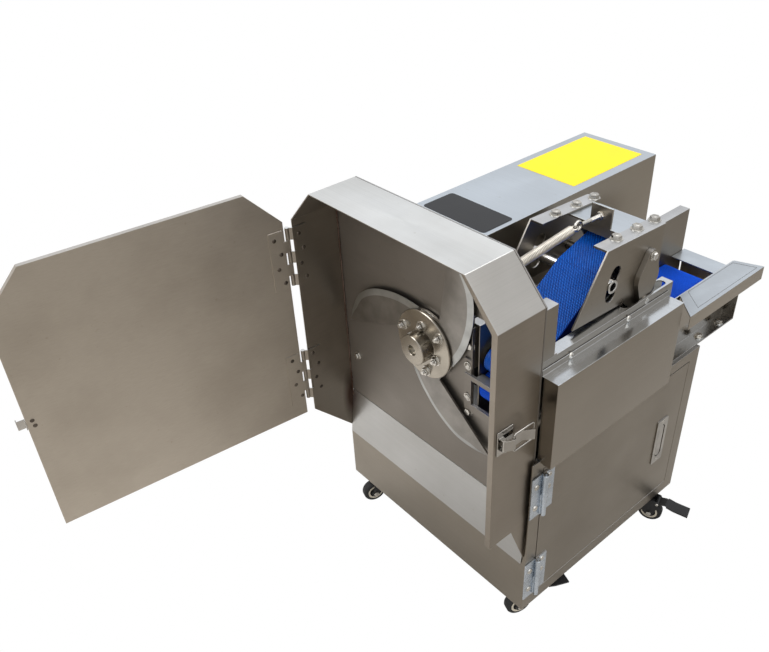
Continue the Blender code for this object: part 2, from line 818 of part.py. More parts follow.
def build_apron():
    clear = 2 * GAP
    top = CAB_SLOPE_Z - clear
    outline = [(slope_y(APRON_BOTTOM, clear), APRON_BOTTOM), (slope_y(top, clear), top),
               (slope_y(top, clear + THIN), top), (slope_y(APRON_BOTTOM, clear + THIN), APRON_BOTTOM)]
    piece("discharge_chute", plate("YZ", SHEET + GAP, HOOD_W - SHEET - GAP, outline), machine, TOP_STEEL)


def cabinet_outline(inset=0.0):
    step = (CAB_UPPER_Y - CAB_FRONT) / (CAB_SLOPE_Z - CAB_KICK_Z) * inset / 2
    return [(CAB_FRONT + inset, inset), (CAB_BACK - inset, inset), (CAB_BACK - inset, CAB_TOP - inset),
            (CAB_UPPER_Y + inset, CAB_TOP - inset), (CAB_UPPER_Y + inset, CAB_SLOPE_Z - step),
            (CAB_FRONT + inset, CAB_KICK_Z - step)]


def build_cabinet():
    shell = piece("cabinet_shell", plate("YZ", 0, CAB_W, cabinet_outline()), machine, STEEL)
    cut(shell, plate("YZ", SHEET, CAB_W - SHEET, cabinet_outline(SHEET)))
    cut(shell, block((CAB_W - SHEET - OVER, DOOR_Y0, DOOR_Z0), (CAB_W + OVER, DOOR_Y1, DOOR_Z1)))
    cut(shell, block((BELT_HOLE_X0, BELT_HOLE_Y0, CAB_TOP - SHEET - OVER),
                     (BELT_HOLE_X1, BELT_HOLE_Y1, CAB_TOP + OVER)))
    ear = rectangle(CAB_FRONT, CAB_KICK_Z - SHEET, CAB_UPPER_Y + SHEET, CAB_TOP)
    add(shell, plate("YZ", CAB_W - SHEET, CAB_W, ear))
    for x, y in CASTOR_PLACES:
        half = PLATE_W / 2
        add(shell, block((x - half, y - half, -PLATE_T), (x + half, y + half, SHEET / 2)))
        add(shell, rod("Z", -PLATE_T - KING_H, -PLATE_T / 2, x, y, KING_R))


def build_cabinet_door():
    x1 = CAB_W
    x0 = CAB_W - DOOR_RIM
    y0 = DOOR_Y0 + DOOR_FIT
    y1 = DOOR_Y1 - DOOR_FIT
    z0 = DOOR_Z0 + DOOR_FIT
    z1 = DOOR_Z1 - DOOR_FIT

    def local(low, high):
        shift = Vector((CAB_W + CAB_PIN_OUT, DOOR_Y0, 0))
        return block(Vector(low) - shift, Vector(high) - shift)

    leaf = piece("cabinet_door", local((x0, y0, z0), (x1, y1, z1)), cabinet_pin, STEEL)
    cut(leaf, local((x0 - OVER, y0 + THIN, z0 + THIN), (x1 - THIN, y1 - THIN, z1 - THIN)))
    skin_x = x1 - THIN / 2
    for z in CAB_HINGE_Z:
        low = z + CAB_HINGE_H / 2 + GAP / 2
        high = z + CAB_HINGE_H
        face = x1 + CAB_LEAF_T
        add(leaf, local((skin_x, y0 + THIN, z + THIN), (face, DOOR_Y0 + CAB_LEAF_W, high - THIN)))
        tongue = [(-CAB_PIN_OUT + CAB_LEAF_T, CAB_BARREL_R / 2), (-CAB_PIN_OUT + CAB_LEAF_T, CAB_BARREL_R * 2),
                  (-CAB_PIN_OUT + GAP, CAB_BARREL_R * 2), (-CAB_PIN_OUT + GAP, 0), (-CAB_PIN_R - RUN * 2, 0)]
        add(leaf, plate("XY", low, high, tongue))
        add(leaf, plate("XY", low, high, circle(0, 0, CAB_BARREL_R, SMALL),
                        (circle(0, 0, CAB_PIN_R + RUN, SMALL),)))
    half_w = LOCK_W / 2
    half_h = LOCK_H / 2
    mid_y = LOCK_Y - DOOR_Y0
    face = -CAB_PIN_OUT
    add(leaf, plate("YZ", face - THIN / 2, face + LOCK_T,
                    rounded(mid_y - half_w, LOCK_Z - half_h, mid_y + half_w, LOCK_Z + half_h, LOCK_R)))
    wall = POCKET_W / 2 + THIN
    tall = POCKET_H / 2 + THIN
    add(leaf, block((face - LOCK_DEPTH, mid_y - wall, LOCK_Z - tall),
                    (face - THIN / 2, mid_y + wall, LOCK_Z + tall)))
    pocket = POCKET_W / 2
    deep = POCKET_H / 2
    cut(leaf, plate("YZ", face - LOCK_DEPTH + THIN, face + LOCK_T + OVER,
                    rounded(mid_y - pocket, LOCK_Z - deep, mid_y + pocket, LOCK_Z + deep, pocket * LOCK_END_SHARE)))
    pin_z = LOCK_Z - deep + pocket
    pin_x = face + LOCK_T - HANDLE_T / 2 - RUN
    reach = pocket + THIN / 2
    add(leaf, rod("Y", mid_y - reach, mid_y + reach, pin_x, pin_z, HANDLE_PIN_R, SMALL))
    build_lock_handle(body("lock_handle_pin", (pin_x, mid_y, pin_z), parent=cabinet_pin))


def build_lock_handle(carrier):
    half = POCKET_W / 2 - HANDLE_FIT
    top = POCKET_H - POCKET_W / 2 - HANDLE_FIT
    handle = piece("door_lock_handle", plate("YZ", -HANDLE_T / 2, HANDLE_T / 2,
                                             rounded(-half, -half, half, top, half - GAP)), carrier, BLACK_STEEL)
    cut(handle, rod("Y", -half - OVER, half + OVER, 0, 0, HANDLE_PIN_R + RUN, SMALL))


def build_cabinet_hinges():
    pin_x = CAB_W + CAB_PIN_OUT
    for name, z in zip(("cabinet_hinge_upper", "cabinet_hinge_lower"), CAB_HINGE_Z):
        half = z + CAB_HINGE_H / 2 - GAP / 2
        face = CAB_W + GAP
        near = DOOR_Y0 - CAB_BARREL_R / 2
        leaf = piece(name, block((face, DOOR_Y0 - CAB_LEAF_W, z), (face + CAB_LEAF_T, near, z + CAB_HINGE_H)),
                     machine, ZINC)
        tongue = [(face, near - THIN), (face + CAB_LEAF_T, near - THIN), (pin_x - GAP, DOOR_Y0 - CAB_BARREL_R / 2),
                  (pin_x - CAB_BARREL_R / 2, DOOR_Y0), (face, DOOR_Y0 - GAP)]
        add(leaf, plate("XY", z, half, tongue))
        add(leaf, rod("Z", z, half, pin_x, DOOR_Y0, CAB_BARREL_R, SMALL))
        add(leaf, rod("Z", half - THIN, z + CAB_HINGE_H + THIN, pin_x, DOOR_Y0, CAB_PIN_R, SMALL))


def fork_leg(pedal_side):
    """One cheek of the fork; a pedal side of 1 has the pedal over the wheel, -1 has it ahead of the king pin."""
    crown = -PLATE_T - KING_H - GAP - FORK_ROUND
    circles = [(TRAIL, -AXLE_DROP, AXLE_BOSS_R), (FORK_CROWN_R - FORK_ROUND, crown, FORK_ROUND),
               (FORK_ROUND - FORK_CROWN_R, crown, FORK_ROUND)]
    if pedal_side > 0:
        circles.insert(1, (PEDAL_PIVOT, -PEDAL_PIVOT_DROP, PEDAL_BOSS_R))
    if pedal_side < 0:
        circles.append((-PEDAL_PIVOT_AHEAD, -PEDAL_PIVOT_DROP, PEDAL_BOSS_R))
    return loop(circles, 30)


def build_castor(name, place, angle, pedal_side):
    carrier = body("castor_" + name, (*place, 0), (0, 0, angle), machine)
    inner = WHEEL_W / 2 + FORK_GAP
    outer = inner + FORK_T
    top = -PLATE_T - KING_H - GAP
    fork = piece("castor_fork_" + name, plate("XZ", -outer, -inner, fork_leg(pedal_side)), carrier, BLACK_STEEL)
    add(fork, plate("XZ", inner, outer, fork_leg(pedal_side)))
    half = FORK_CROWN_R - FORK_ROUND
    add(fork, block((-half, -inner - FORK_T / 2, top - FORK_T), (half, inner + FORK_T / 2, top)))
    pin = inner + FORK_T / 2
    add(fork, rod("Y", -pin, pin, TRAIL, -AXLE_DROP, AXLE_R, SMALL))
    hub = body("castor_axle_" + name, (TRAIL, 0, -AXLE_DROP), parent=carrier)
    side = WHEEL_W / 2
    bore = AXLE_R + RUN
    shoulder = WHEEL_R - THIN / 2
    profile = [(side, bore), (side, WHEEL_R - THIN * 2), (side - THIN, shoulder), (side - THIN * 2, WHEEL_R),
               (THIN * 2 - side, WHEEL_R), (THIN - side, shoulder), (-side, WHEEL_R - THIN * 2), (-side, bore)]
    piece("castor_wheel_" + name, turned("Y", profile, 0, 0, ROUND, closed=True), hub, BLACK_RUBBER,
          (0, 180 / ROUND, 0))
    if pedal_side:
        pivot = PEDAL_PIVOT if pedal_side > 0 else -PEDAL_PIVOT_AHEAD
        turn = 0 if pedal_side > 0 else 180
        add(fork, rod("Y", -pin, pin, pivot, -PEDAL_PIVOT_DROP, PEDAL_PIN_R, SMALL))
        foot = body("brake_pin_" + name, (pivot, 0, -PEDAL_PIVOT_DROP), (0, 0, turn), carrier)
        build_pedal("brake_pedal_" + name, foot, inner - GAP)


def build_pedal(name, carrier, half):
    reach = PEDAL_REACH - PEDAL_PIVOT
    rise = PEDAL_BOSS_R / 2
    line = [(0, 0), (reach * PEDAL_RISE_SHARE, rise), (reach * PEDAL_FALL_SHARE, -PEDAL_DROP / 2),
            (reach, -PEDAL_DROP)]
    narrow = reach * PEDAL_NARROW_SHARE
    pedal = piece(name, plate("XZ", -PEDAL_W / 2, PEDAL_W / 2, strip(line, PEDAL_T)), carrier, BLACK_STEEL)
    for side in (-1, 1):
        low = min(side * half, side * PEDAL_W)
        high = max(side * half, side * PEDAL_W)
        cut(pedal, block((-OVER, low, -PEDAL_W), (narrow, high, PEDAL_W)))
    add(pedal, rod("Y", -half, half, 0, 0, PEDAL_BOSS_R - THIN / 2, SMALL))
    cut(pedal, rod("Y", -half - OVER, half + OVER, 0, 0, PEDAL_PIN_R + RUN, SMALL))


def build_rotor():
    bore = SHAFT_NOSE_R + GAP
    back = FLANGE_FRONT + FLANGE_T
    hub = [(BLADE_Y1, bore), (BLADE_Y1, SPIGOT_R), (back, SPIGOT_R), (back, FLANGE_R - EDGE),
           (back - EDGE, FLANGE_R), (FLANGE_FRONT + EDGE, FLANGE_R), (FLANGE_FRONT, FLANGE_R - EDGE), (FLANGE_FRONT, BOSS_R),
           (BOSS_FRONT + EDGE, BOSS_R), (BOSS_FRONT, BOSS_R - EDGE), (BOSS_FRONT, bore)]
    piece("hub_flange", turned("Y", hub, 0, 0, FINE, closed=True), rotor, POLISHED)
    backing = BACKING_Y0 + BACKING_T
    shoulder = backing + SHAFT_SHOULDER_L
    step = HOUSING_Y1 + PULLEY_GAP / 2
    end = PULLEY_Y1 + PULLEY_GAP / 2
    nose = BOSS_FRONT + SHAFT_NOSE_BACK
    shaft = [(end, 0), (end, SHAFT_TAIL_R), (step, SHAFT_TAIL_R), (step, SHAFT_R), (shoulder, SHAFT_R),
             (shoulder, SHAFT_SHOULDER_R), (backing, SHAFT_SHOULDER_R), (backing, BACKING_R),
             (BACKING_Y0, BACKING_R), (BACKING_Y0, SHAFT_NOSE_R), (nose, SHAFT_NOSE_R), (nose, 0)]
    piece("knife_shaft", turned("Y", shaft, 0, 0, ROUND), rotor, STEEL)
    hole = SHAFT_TAIL_R + GAP
    pulley = [(PULLEY_Y1, hole)] + pulley_rim(PULLEY_R) + [(PULLEY_Y0, hole)]
    piece("knife_pulley", turned("Y", pulley, 0, 0, ROUND, closed=True), rotor, CAST_GREY)
    shape = blade_mesh()
    for number, angle in enumerate(BLADE_ANGLES, start=1):
        piece("blade_" + str(number), shape, rotor, BLADE_STEEL, (0, -angle, 0))


def on_ray(radius, angle, aside=0.0):
    turn = math.radians(angle)
    return (radius * math.cos(turn) - aside * math.sin(turn), radius * math.sin(turn) + aside * math.cos(turn))


def blade_mesh():
    """A sickle blade along +X: its root is one blade's share of the hub, and its convex edge is ground."""
    tip = BLADE_TIP_R
    heel = BLADE_HEEL_SHARE * tip
    convex = curve_through([(GAP, -heel)] + [(u * tip, v * tip) for u, v in BLADE_EDGE_SHARES] + [(tip, 0)], 4)
    back = [(u * tip, v * tip) for u, v in BLADE_BACK_SHARES]
    root = [on_ray(BACKING_R - THIN, BLADE_ROOT_ANGLE, -GAP)]
    bore = SPIGOT_R + GAP * 2
    last = BLADE_ROOT_ANGLE - 360 / len(BLADE_ANGLES)
    inner = [on_ray(bore, BLADE_ROOT_ANGLE, -GAP)] + arc(0, 0, bore, BLADE_ROOT_ANGLE - 10, last + 10, 10)
    inner.append(on_ray(bore, last, GAP))
    outline = convex + back + root + inner
    count = len(convex)
    ground = []
    for i, point in enumerate(outline):
        here = Vector(point)
        if i < count:
            before = Vector(outline[max(i - 1, 0)])
            after = Vector(outline[min(i + 1, count - 1)])
            along = (after - before).normalized()
            taper = min(1.0, (count - 1 - i) / (count * (1 - BLADE_TAPER_SHARE)))
            here = here + Vector((-along.y, along.x)) * BLADE_BEVEL * taper
            if i == 0:
                here.x = point[0]
        ground.append(tuple(here))
    levels = ((BLADE_Y1, outline), (BLADE_Y1 - BLADE_EDGE_T, outline), (BLADE_Y0, ground))
    return loft([[(u, y, v) for u, v in points] for y, points in levels])


def pulley_rim(radius):
    middle = (PULLEY_Y0 + PULLEY_Y1) / 2
    floor = radius - GROOVE_DEPTH
    return [(PULLEY_Y1, radius), (middle + GROOVE_W / 2, radius), (middle + GROOVE_FLOOR_W / 2, floor),
            (middle - GROOVE_FLOOR_W / 2, floor), (middle - GROOVE_W / 2, radius), (PULLEY_Y0, radius)]


def build_knife_drive():
    bore = SHAFT_R + RUN
    flange = HOUSING_Y0 + HOUSING_FLANGE_T
    housing = [(HOUSING_Y1, bore), (HOUSING_Y1, HOUSING_R), (flange, HOUSING_R), (flange, HOUSING_FLANGE_R),
               (HOUSING_Y0, HOUSING_FLANGE_R), (HOUSING_Y0, bore)]
    piece("knife_spindle_housing", turned("Y", housing, KNIFE_X, KNIFE_Z, FINE, closed=True), machine, CAST_GREY)
    middle = (PULLEY_Y0 + PULLEY_Y1) / 2
    seats = [(KNIFE_X, KNIFE_Z, PULLEY_R - GROOVE_DEPTH + GAP),
             (MOTOR_X, MOTOR_Z, MOTOR_PULLEY_R - GROOVE_DEPTH + GAP)]
    band = plate("XZ", middle - VBELT_W / 2, middle + VBELT_W / 2, loop(wider(seats, VBELT_T)), (loop(seats),))
    piece("knife_drive_belt", band, machine, BLACK_RUBBER)
    shaft_end = MOTOR_Y0 + MOTOR_SHAFT_L
    stub = [(shaft_end, 0), (shaft_end, MOTOR_SHAFT_R), (PULLEY_Y1, MOTOR_SHAFT_R)]
    rim = pulley_rim(MOTOR_PULLEY_R)
    piece("motor_pulley", turned("Y", stub + rim + [(PULLEY_Y0, 0)], 0, 0, ROUND), motor_rotor, CAST_GREY)
    motor = piece("knife_motor", rod("Y", MOTOR_Y0, MOTOR_Y0 + MOTOR_L, MOTOR_X, MOTOR_Z, MOTOR_R, FINE),
                  machine, CAST_GREY)
    mid_y = MOTOR_Y0 + MOTOR_L / 2
    floor = SHEET + GAP
    add(motor, block((MOTOR_X - MOTOR_FOOT_W / 2, mid_y - MOTOR_FOOT_L / 2, floor),
                     (MOTOR_X + MOTOR_FOOT_W / 2, mid_y + MOTOR_FOOT_L / 2, floor + MOTOR_FOOT_T)))
    add(motor, block((MOTOR_X - MOTOR_R / 2, mid_y - MOTOR_FOOT_L / 2, floor + MOTOR_FOOT_T / 2),
                     (MOTOR_X + MOTOR_R / 2, mid_y + MOTOR_FOOT_L / 2, MOTOR_Z - MOTOR_R / 2)))
    cut(motor, rod("Y", MOTOR_Y0 - OVER, shaft_end + THIN, MOTOR_X, MOTOR_Z, MOTOR_SHAFT_R + RUN, ROUND))


def build_chamber_door():
    """Modelled closed, along +X from the pin; the hood side of the sheet faces +Y."""
    outline = hood_outline(0, HOOD_BOTTOM, DOOR_EDGE, DOOR_EDGE + DOOR_W)
    leaf = piece("chamber_door", plate("XZ", DOOR_FACE - RIM_DEPTH, DOOR_FACE, outline), door, STEEL)
    inner = hood_outline(DOOR_SKIN, HOOD_BOTTOM + DOOR_SKIN, DOOR_EDGE, DOOR_EDGE + DOOR_W)
    cut(leaf, plate("XZ", DOOR_FACE - RIM_DEPTH - OVER, DOOR_FACE - DOOR_SKIN, inner))
    pitch = HINGE_H / KNUCKLES
    near = DOOR_EDGE * 3 / 2
    skin = DOOR_FACE - DOOR_SKIN / 2
    top = DOOR_FACE + LEAF_T
    for z in HINGE_Z:
        add(leaf, block((near, skin, z), (near + LEAF_W, top, z + HINGE_H)))
        for k in range(1, KNUCKLES, 2):
            low = z + k * pitch + GAP / 2
            high = z + (k + 1) * pitch - GAP / 2
            tongue = [(near + LEAF_T, DOOR_FACE - GAP), (near + LEAF_T, top - GAP), (DOOR_EDGE * 2 / 3, top - GAP),
                      (0, BARREL_R - GAP), (BARREL_R - THIN / 2, THIN), (DOOR_EDGE - GAP, DOOR_FACE - GAP)]
            add(leaf, plate("XY", low, high, tongue))
            add(leaf, rod("Z", low, high, 0, 0, BARREL_R, SMALL))
            cut(leaf, rod("Z", low - THIN, high + THIN, 0, 0, BARREL_PIN_R + RUN, SMALL))
    build_strike()


def build_strike():
    edge = DOOR_EDGE + DOOR_W + GAP
    front = DOOR_FACE - STRIKE_BASE
    out = edge + STRIKE_REACH
    inner = edge + STRIKE_T
    step = front + STRIKE_T
    profile = [(edge, DOOR_FACE), (edge, front), (out - STRIKE_T, front), (out - STRIKE_T, front - STRIKE_LIP),
               (out, front - STRIKE_LIP), (out, step), (inner, step), (inner, DOOR_FACE)]
    piece("door_strike", plate("XY", LATCH_Z - STRIKE_H / 2, LATCH_Z + STRIKE_H / 2, profile), door, ZINC)


def build_hood_hinges():
    pitch = HINGE_H / KNUCKLES
    face = SHEET + GAP
    for name, z in zip(("hood_hinge_upper", "hood_hinge_lower"), HINGE_Z):
        leaf = piece(name, block((face, THIN, z), (face + LEAF_T, LEAF_W, z + HINGE_H)), machine, ZINC)
        for k in range(0, KNUCKLES, 2):
            low = z + k * pitch + (GAP / 2 if k else 0)
            high = z + (k + 1) * pitch - (GAP / 2 if k + 1 < KNUCKLES else 0)
            tongue = [(face, THIN * 2), (face, -GAP * 3), (PIN_X + THIN, PIN_Y + BARREL_R - GAP),
                      (PIN_X + BARREL_R - THIN / 2, PIN_Y + THIN), (face + LEAF_T, -LEAF_T), (face + LEAF_T, THIN * 2)]
            add(leaf, plate("XY", low, high, tongue))
            add(leaf, rod("Z", low, high, PIN_X, PIN_Y, BARREL_R, SMALL))
        add(leaf, rod("Z", z + GAP, z + HINGE_H - GAP, PIN_X, PIN_Y, BARREL_PIN_R, SMALL))


def build_latch():
    half = LATCH_PLATE_H / 2
    face = WALL_X
    base = piece("latch_base", block((face, LATCH_Y0, LATCH_Z - half), (face + THIN, LATCH_Y1, LATCH_Z + half)),
                 machine, ZINC)
    pivot_x = HOOD_W + LATCH_PIVOT_OUT
    ear = LATCH_CHEEK_T * 3
    cheek = [(face + THIN / 2, LATCH_PIVOT_Y - ear), (pivot_x, LATCH_PIVOT_Y - ear), (pivot_x + ear, LATCH_PIVOT_Y),
             (pivot_x, LATCH_PIVOT_Y + ear), (face + THIN / 2, LATCH_PIVOT_Y + ear)]
    inner = LEVER_H / 2 + GAP
    outer = inner + LATCH_CHEEK_T
    for low, high in ((-outer, -inner), (inner, outer)):
        add(base, plate("XY", LATCH_Z + low, LATCH_Z + high, cheek))
    pin = inner + LATCH_CHEEK_T / 2
    add(base, rod("Z", LATCH_Z - pin, LATCH_Z + pin, pivot_x, LATCH_PIVOT_Y, LATCH_PIN_R, SMALL))
    build_lever()


def build_lever():
    """About its pin: a flat handle along +Y whose tip stands off the wall."""
    half = LEVER_H / 2
    thick = LEVER_T / 2
    seat = BAIL_PIVOT_OUT - LATCH_PIVOT_OUT
    turn = BAIL_PIVOT_Y - LATCH_PIVOT_Y
    boss = BAIL_R + THIN
    outline = arc(0, 0, thick, 180, 300, 30) + [(seat + boss / 2, turn - boss * 2)]
    outline += arc(seat, turn, boss, -30, 60, 30) + [(thick, turn + boss * 2), (thick, LEVER_L * LEVER_BEND_SHARE)]
    outline += [(LEVER_TIP_OUT, LEVER_L), (LEVER_TIP_OUT - THIN, LEVER_L + THIN), (0, LEVER_L * LEVER_UNDER_SHARE),
                (-thick, LEVER_L * LEVER_BELLY_SHARE)]
    handle = piece("latch_lever", plate("XY", -half, half, outline), lever, ZINC)
    cut(handle, rod("Z", -half - OVER, half + OVER, 0, 0, LATCH_PIN_R + RUN, SMALL))
    cut(handle, rod("Z", -half - OVER, half + OVER, seat, turn, BAIL_R + RUN, SMALL))
    reach = BAIL_PIVOT_Y + BAIL_HOOK - PIN_Y - DOOR_FACE + STRIKE_BASE
    wide = BAIL_H / 2
    stub = half / 2
    loop_points = [(0, 0, -stub), (0, 0, -wide), (0, reach, -wide), (0, reach, wide), (0, 0, wide), (0, 0, stub)]
    piece("latch_bail", wire(loop_points, BAIL_R), bail, ZINC)


def build_right_side():
    start = SIDE_START
    middle = WEB_R_X + SHEET / 2
    low = TOP_Z + SHEET / 2
    top = RAIL_Z - SHEET / 2
    lip = RAIL_X - SHEET / 2
    profile = strip([(FOOT_X, low), (middle, low), (middle, top), (lip, top), (lip, RAIL_Z - RAIL_LIP)], SHEET)
    side = piece("conveyor_side_right", plate("XZ", start, SIDE_END, profile), machine, STEEL)
    cut(side, block((WEB_R_X - OVER, RAIL_END, WEB_LOW_Z), (RAIL_X + OVER, SIDE_END + OVER, RAIL_Z + OVER)))
    cut(side, plate("XY", RAIL_Z - SHEET - OVER, RAIL_Z + OVER,
                    rounded(WEB_R_OUT, CUTOUT_Y0, CUTOUT_X, CUTOUT_Y1, CUTOUT_R)))
    foot = RAIL_Z - SHEET * 3
    lug = [(PIVOT_Y - LUG_R * 2, foot), (PIVOT_Y + LUG_R * 2, foot)] + arc(PIVOT_Y, PIVOT_Z, LUG_R, 0, 180)
    add(side, plate("YZ", WEB_R_X, WEB_R_OUT, lug))
    shaft = PRESS_SHAFT_R + RUN
    cut(side, rod("X", WEB_R_X - OVER, WEB_R_OUT + OVER, PIVOT_Y, PIVOT_Z, shaft))
    for y in (NOSE_Y, TAIL_Y):
        cut(side, rod("X", WEB_R_X - OVER, WEB_R_OUT + OVER, y, ROLLER_Z, ROLLER_SHAFT_R + RUN))
    add(side, block((WEB_R_X, SIDE_END - SHEET, TOP_Z), (FOOT_X, SIDE_END, WING_Z0 - SHEET)))


def build_wing():
    inner = WEB_R_OUT + GAP + SHEET / 2
    outer = WING_X - SHEET / 2
    crest = WING_Z1 + WING_RISE
    line = strip([(inner, WING_Z0), (inner, WING_Z1), (outer, crest), (outer, crest - WING_LIP)], SHEET)
    wing = piece("infeed_wing_right", plate("XZ", WING_OUTER_Y - OVER, SIDE_END, line), machine, STEEL)
    low = WING_Z0 - OVER
    high = crest + OVER
    lead = (WING_INNER_Y - WING_OUTER_Y) / (WING_X - WEB_R_OUT)
    front = [(WEB_R_X, WING_INNER_Y + lead * SHEET), (WEB_R_X, WING_OUTER_Y - OVER * 2),
             (WING_X + OVER, WING_OUTER_Y - OVER * 2), (WING_X + OVER, WING_OUTER_Y - lead * OVER)]
    cut(wing, plate("XY", low, high, front))
    tail = [(WEB_R_OUT, SIDE_END), (WING_X + OVER, SIDE_END - WING_END_CUT), (WING_X + OVER, SIDE_END + OVER),
            (WEB_R_OUT, SIDE_END + OVER)]
    cut(wing, plate("XY", low, high, tail))


def build_left_side():
    middle = WEB_L_X + SHEET / 2
    top = LEFT_TOP - SHEET / 2
    low = TOP_Z + SHEET / 2
    foot = WEB_L_X - (FOOT_X - WEB_R_OUT)
    profile = strip([(foot, low), (middle, low), (middle, top), (LEFT_FLANGE_X, top)], SHEET)
    side = piece("conveyor_side_left", plate("XZ", SIDE_START, SIDE_END - WING_END_CUT, profile), machine, STEEL)
    base = LEFT_TOP - SHEET * 3
    lug = [(PIVOT_Y - LUG_R * 2, base), (PIVOT_Y + LUG_R * 2, base)] + arc(PIVOT_Y, PIVOT_Z, LUG_R, 0, 180)
    add(side, plate("YZ", WEB_L_X, WEB_L_OUT, lug))
    cut(side, rod("X", WEB_L_X - OVER, WEB_L_OUT + OVER, PIVOT_Y, PIVOT_Z, PRESS_SHAFT_R + RUN))
    for y in (NOSE_Y, TAIL_Y):
        cut(side, rod("X", WEB_L_X - OVER, WEB_L_OUT + OVER, y, ROLLER_Z, ROLLER_SHAFT_R + RUN))


def build_end_plate():
    top = END_PLATE_Z - SHEET / 2
    back = END_PLATE_Y1 - SHEET / 2
    line = [(END_PLATE_Y0, top), (back, top), (back, END_PLATE_Z - END_PLATE_DROP)]
    piece("infeed_end_plate", plate("YZ", WEB_L_OUT + GAP, WEB_R_X - GAP, strip(line, SHEET)), machine, TOP_STEEL)


def build_infeed_belt():
    seats = [(NOSE_Y, ROLLER_Z, LOWER_BELT_R), (TAIL_Y, ROLLER_Z, LOWER_BELT_R)]
    band = plate("YZ", BELT_X0, BELT_X1, loop(wider(seats, BELT_T)), (loop(seats),))
    piece("lower_belt", band, machine, BELT_BLUE)
    x0 = BELT_X0 + GAP
    x1 = BELT_X1 - GAP
    stop = WEB_R_OUT + SHEET
    gear = (GEAR_X0 + GEAR_X1) / 2
    rollers = (("lower_drive_roller", gear, tail_roller), ("lower_nose_roller", WEB_L_X - SHEET, nose_roller))
    for name, start, carrier in rollers:
        profile = [(stop, 0), (stop, ROLLER_SHAFT_R), (x1, ROLLER_SHAFT_R), (x1, LOWER_R), (x0, LOWER_R),
                   (x0, ROLLER_SHAFT_R), (start, ROLLER_SHAFT_R), (start, 0)]
        piece(name, turned("X", profile, 0, 0, ROUND), carrier, STEEL)


def build_side_cover():
    half = THIN / 2
    lip = RAIL_X + GAP + half
    outer = COVER_X - half
    line = [(lip, COVER_Z1 + COVER_LIP), (lip, COVER_Z1 - half), (outer, COVER_Z1 - half), (outer, COVER_Z0 + half),
            (COVER_X - COVER_RETURN, COVER_Z0 + half)]
    cover = piece("side_cover", plate("XZ", COVER_Y0, COVER_Y1, strip(line, THIN)), machine, STEEL)
    inner = FOOT_X + GAP
    clear = CAB_W + SHEET / 2
    step = TOP_Z + HEAVY
    end = [(inner, COVER_Z1 - half), (inner, step), (clear, step), (clear, COVER_Z0 + half), (outer, COVER_Z0 + half),
           (outer, COVER_Z1 - half)]
    add(cover, plate("XZ", COVER_Y0, COVER_Y0 + THIN, end), plate("XZ", COVER_Y1 - THIN, COVER_Y1, end))


def build_throat_guard():
    foot = RAIL_Z + GAP
    y0 = SIDE_START
    guard = piece("throat_guard", block((THROAT_X0, y0, foot), (RAIL_X, THROAT_Y1, THROAT_Z1)), machine, STEEL)
    cut(guard, block((THROAT_X0 - OVER, y0 + SHEET, foot - OVER),
                     (RAIL_X - SHEET, THROAT_Y1 + OVER, THROAT_Z1 - SHEET)))
    add(guard, block((RAIL_X - THROAT_FOOT, THROAT_Y1 - SHEET * 2, foot),
                     (RAIL_X, THROAT_Y1 + THROAT_FOOT / 2, foot + SHEET)))


def build_control_box():
    shell = piece("control_box", block((BOX_X0, BOX_Y0, TOP_Z), (BOX_X1, BOX_Y1, BOX_TOP)), machine, TOP_STEEL)
    cut(shell, block((BOX_X0 + SHEET, BOX_Y0 + SHEET, TOP_Z - OVER),
                     (BOX_X1 - SHEET, BOX_Y1 - SHEET, BOX_TOP - SHEET)))
    for y, z, radius in ((PIVOT_Y, PIVOT_Z, PRESS_SHAFT_R), (TAIL_Y, ROLLER_Z, ROLLER_SHAFT_R)):
        cut(shell, rod("X", BOX_X1 - SHEET - OVER, BOX_X1 + OVER, y, z, radius + RUN))
    wall = BOX_X0 + SHEET
    for y in (STOP_Y, START_Y, KNOB_Y):
        add(shell, rod("X", BOX_X0 - COLLAR_T, wall - SHEET / 2, y, BUTTON_Z, COLLAR_R))
        cut(shell, rod("X", BOX_X0 - OVER, wall + OVER, y, BUTTON_Z, BUTTON_STEM_R + RUN))
    face = BOX_X0 - COLLAR_T
    controls = (("stop_button", STOP_Y, STOP_R, STOP_T, STOP_TRAVEL + RUN, RED_PLASTIC),
                ("start_button", START_Y, START_R, START_T, START_TRAVEL + RUN, GREEN_PLASTIC),
                ("speed_knob", KNOB_Y, KNOB_R, KNOB_T, RUN, BLACK_PLASTIC))
    for name, y, radius, thick, lift, look in controls:
        carrier = body(name + "_axis", (face, y, BUTTON_Z), parent=machine)
        crown = -lift - thick
        profile = [(BUTTON_STEM_L, 0), (BUTTON_STEM_L, BUTTON_STEM_R), (-lift, BUTTON_STEM_R), (-lift, radius),
                   (crown + THIN, radius), (crown, radius - THIN), (crown, 0)]
        piece(name, turned("X", profile, 0, 0, ROUND), carrier, look)


def build_gear_motor():
    case = block((GEAR_X0, GEAR_Y0, GEAR_Z0), (GEAR_X1, GEAR_Y1, GEAR_Z1))
    gear = piece("feed_gearmotor", case, machine, CAST_GREY)
    middle_x = (GEAR_X0 + GEAR_X1) / 2
    middle_z = (GEAR_Z0 + GEAR_Z1) / 2
    add(gear, rod("Y", GEAR_Y0 - FEED_MOTOR_L, GEAR_Y0 + THIN, middle_x, middle_z, FEED_MOTOR_R))
    add(gear, block((GEAR_X0 + THIN, GEAR_Y0 + THIN, TOP_Z),
                    (GEAR_X1 - THIN, GEAR_Y1 - THIN, GEAR_Z0 + THIN)))
    cut(gear, rod("X", middle_x - THIN, GEAR_X1 + OVER, TAIL_Y, ROLLER_Z, ROLLER_SHAFT_R + RUN))


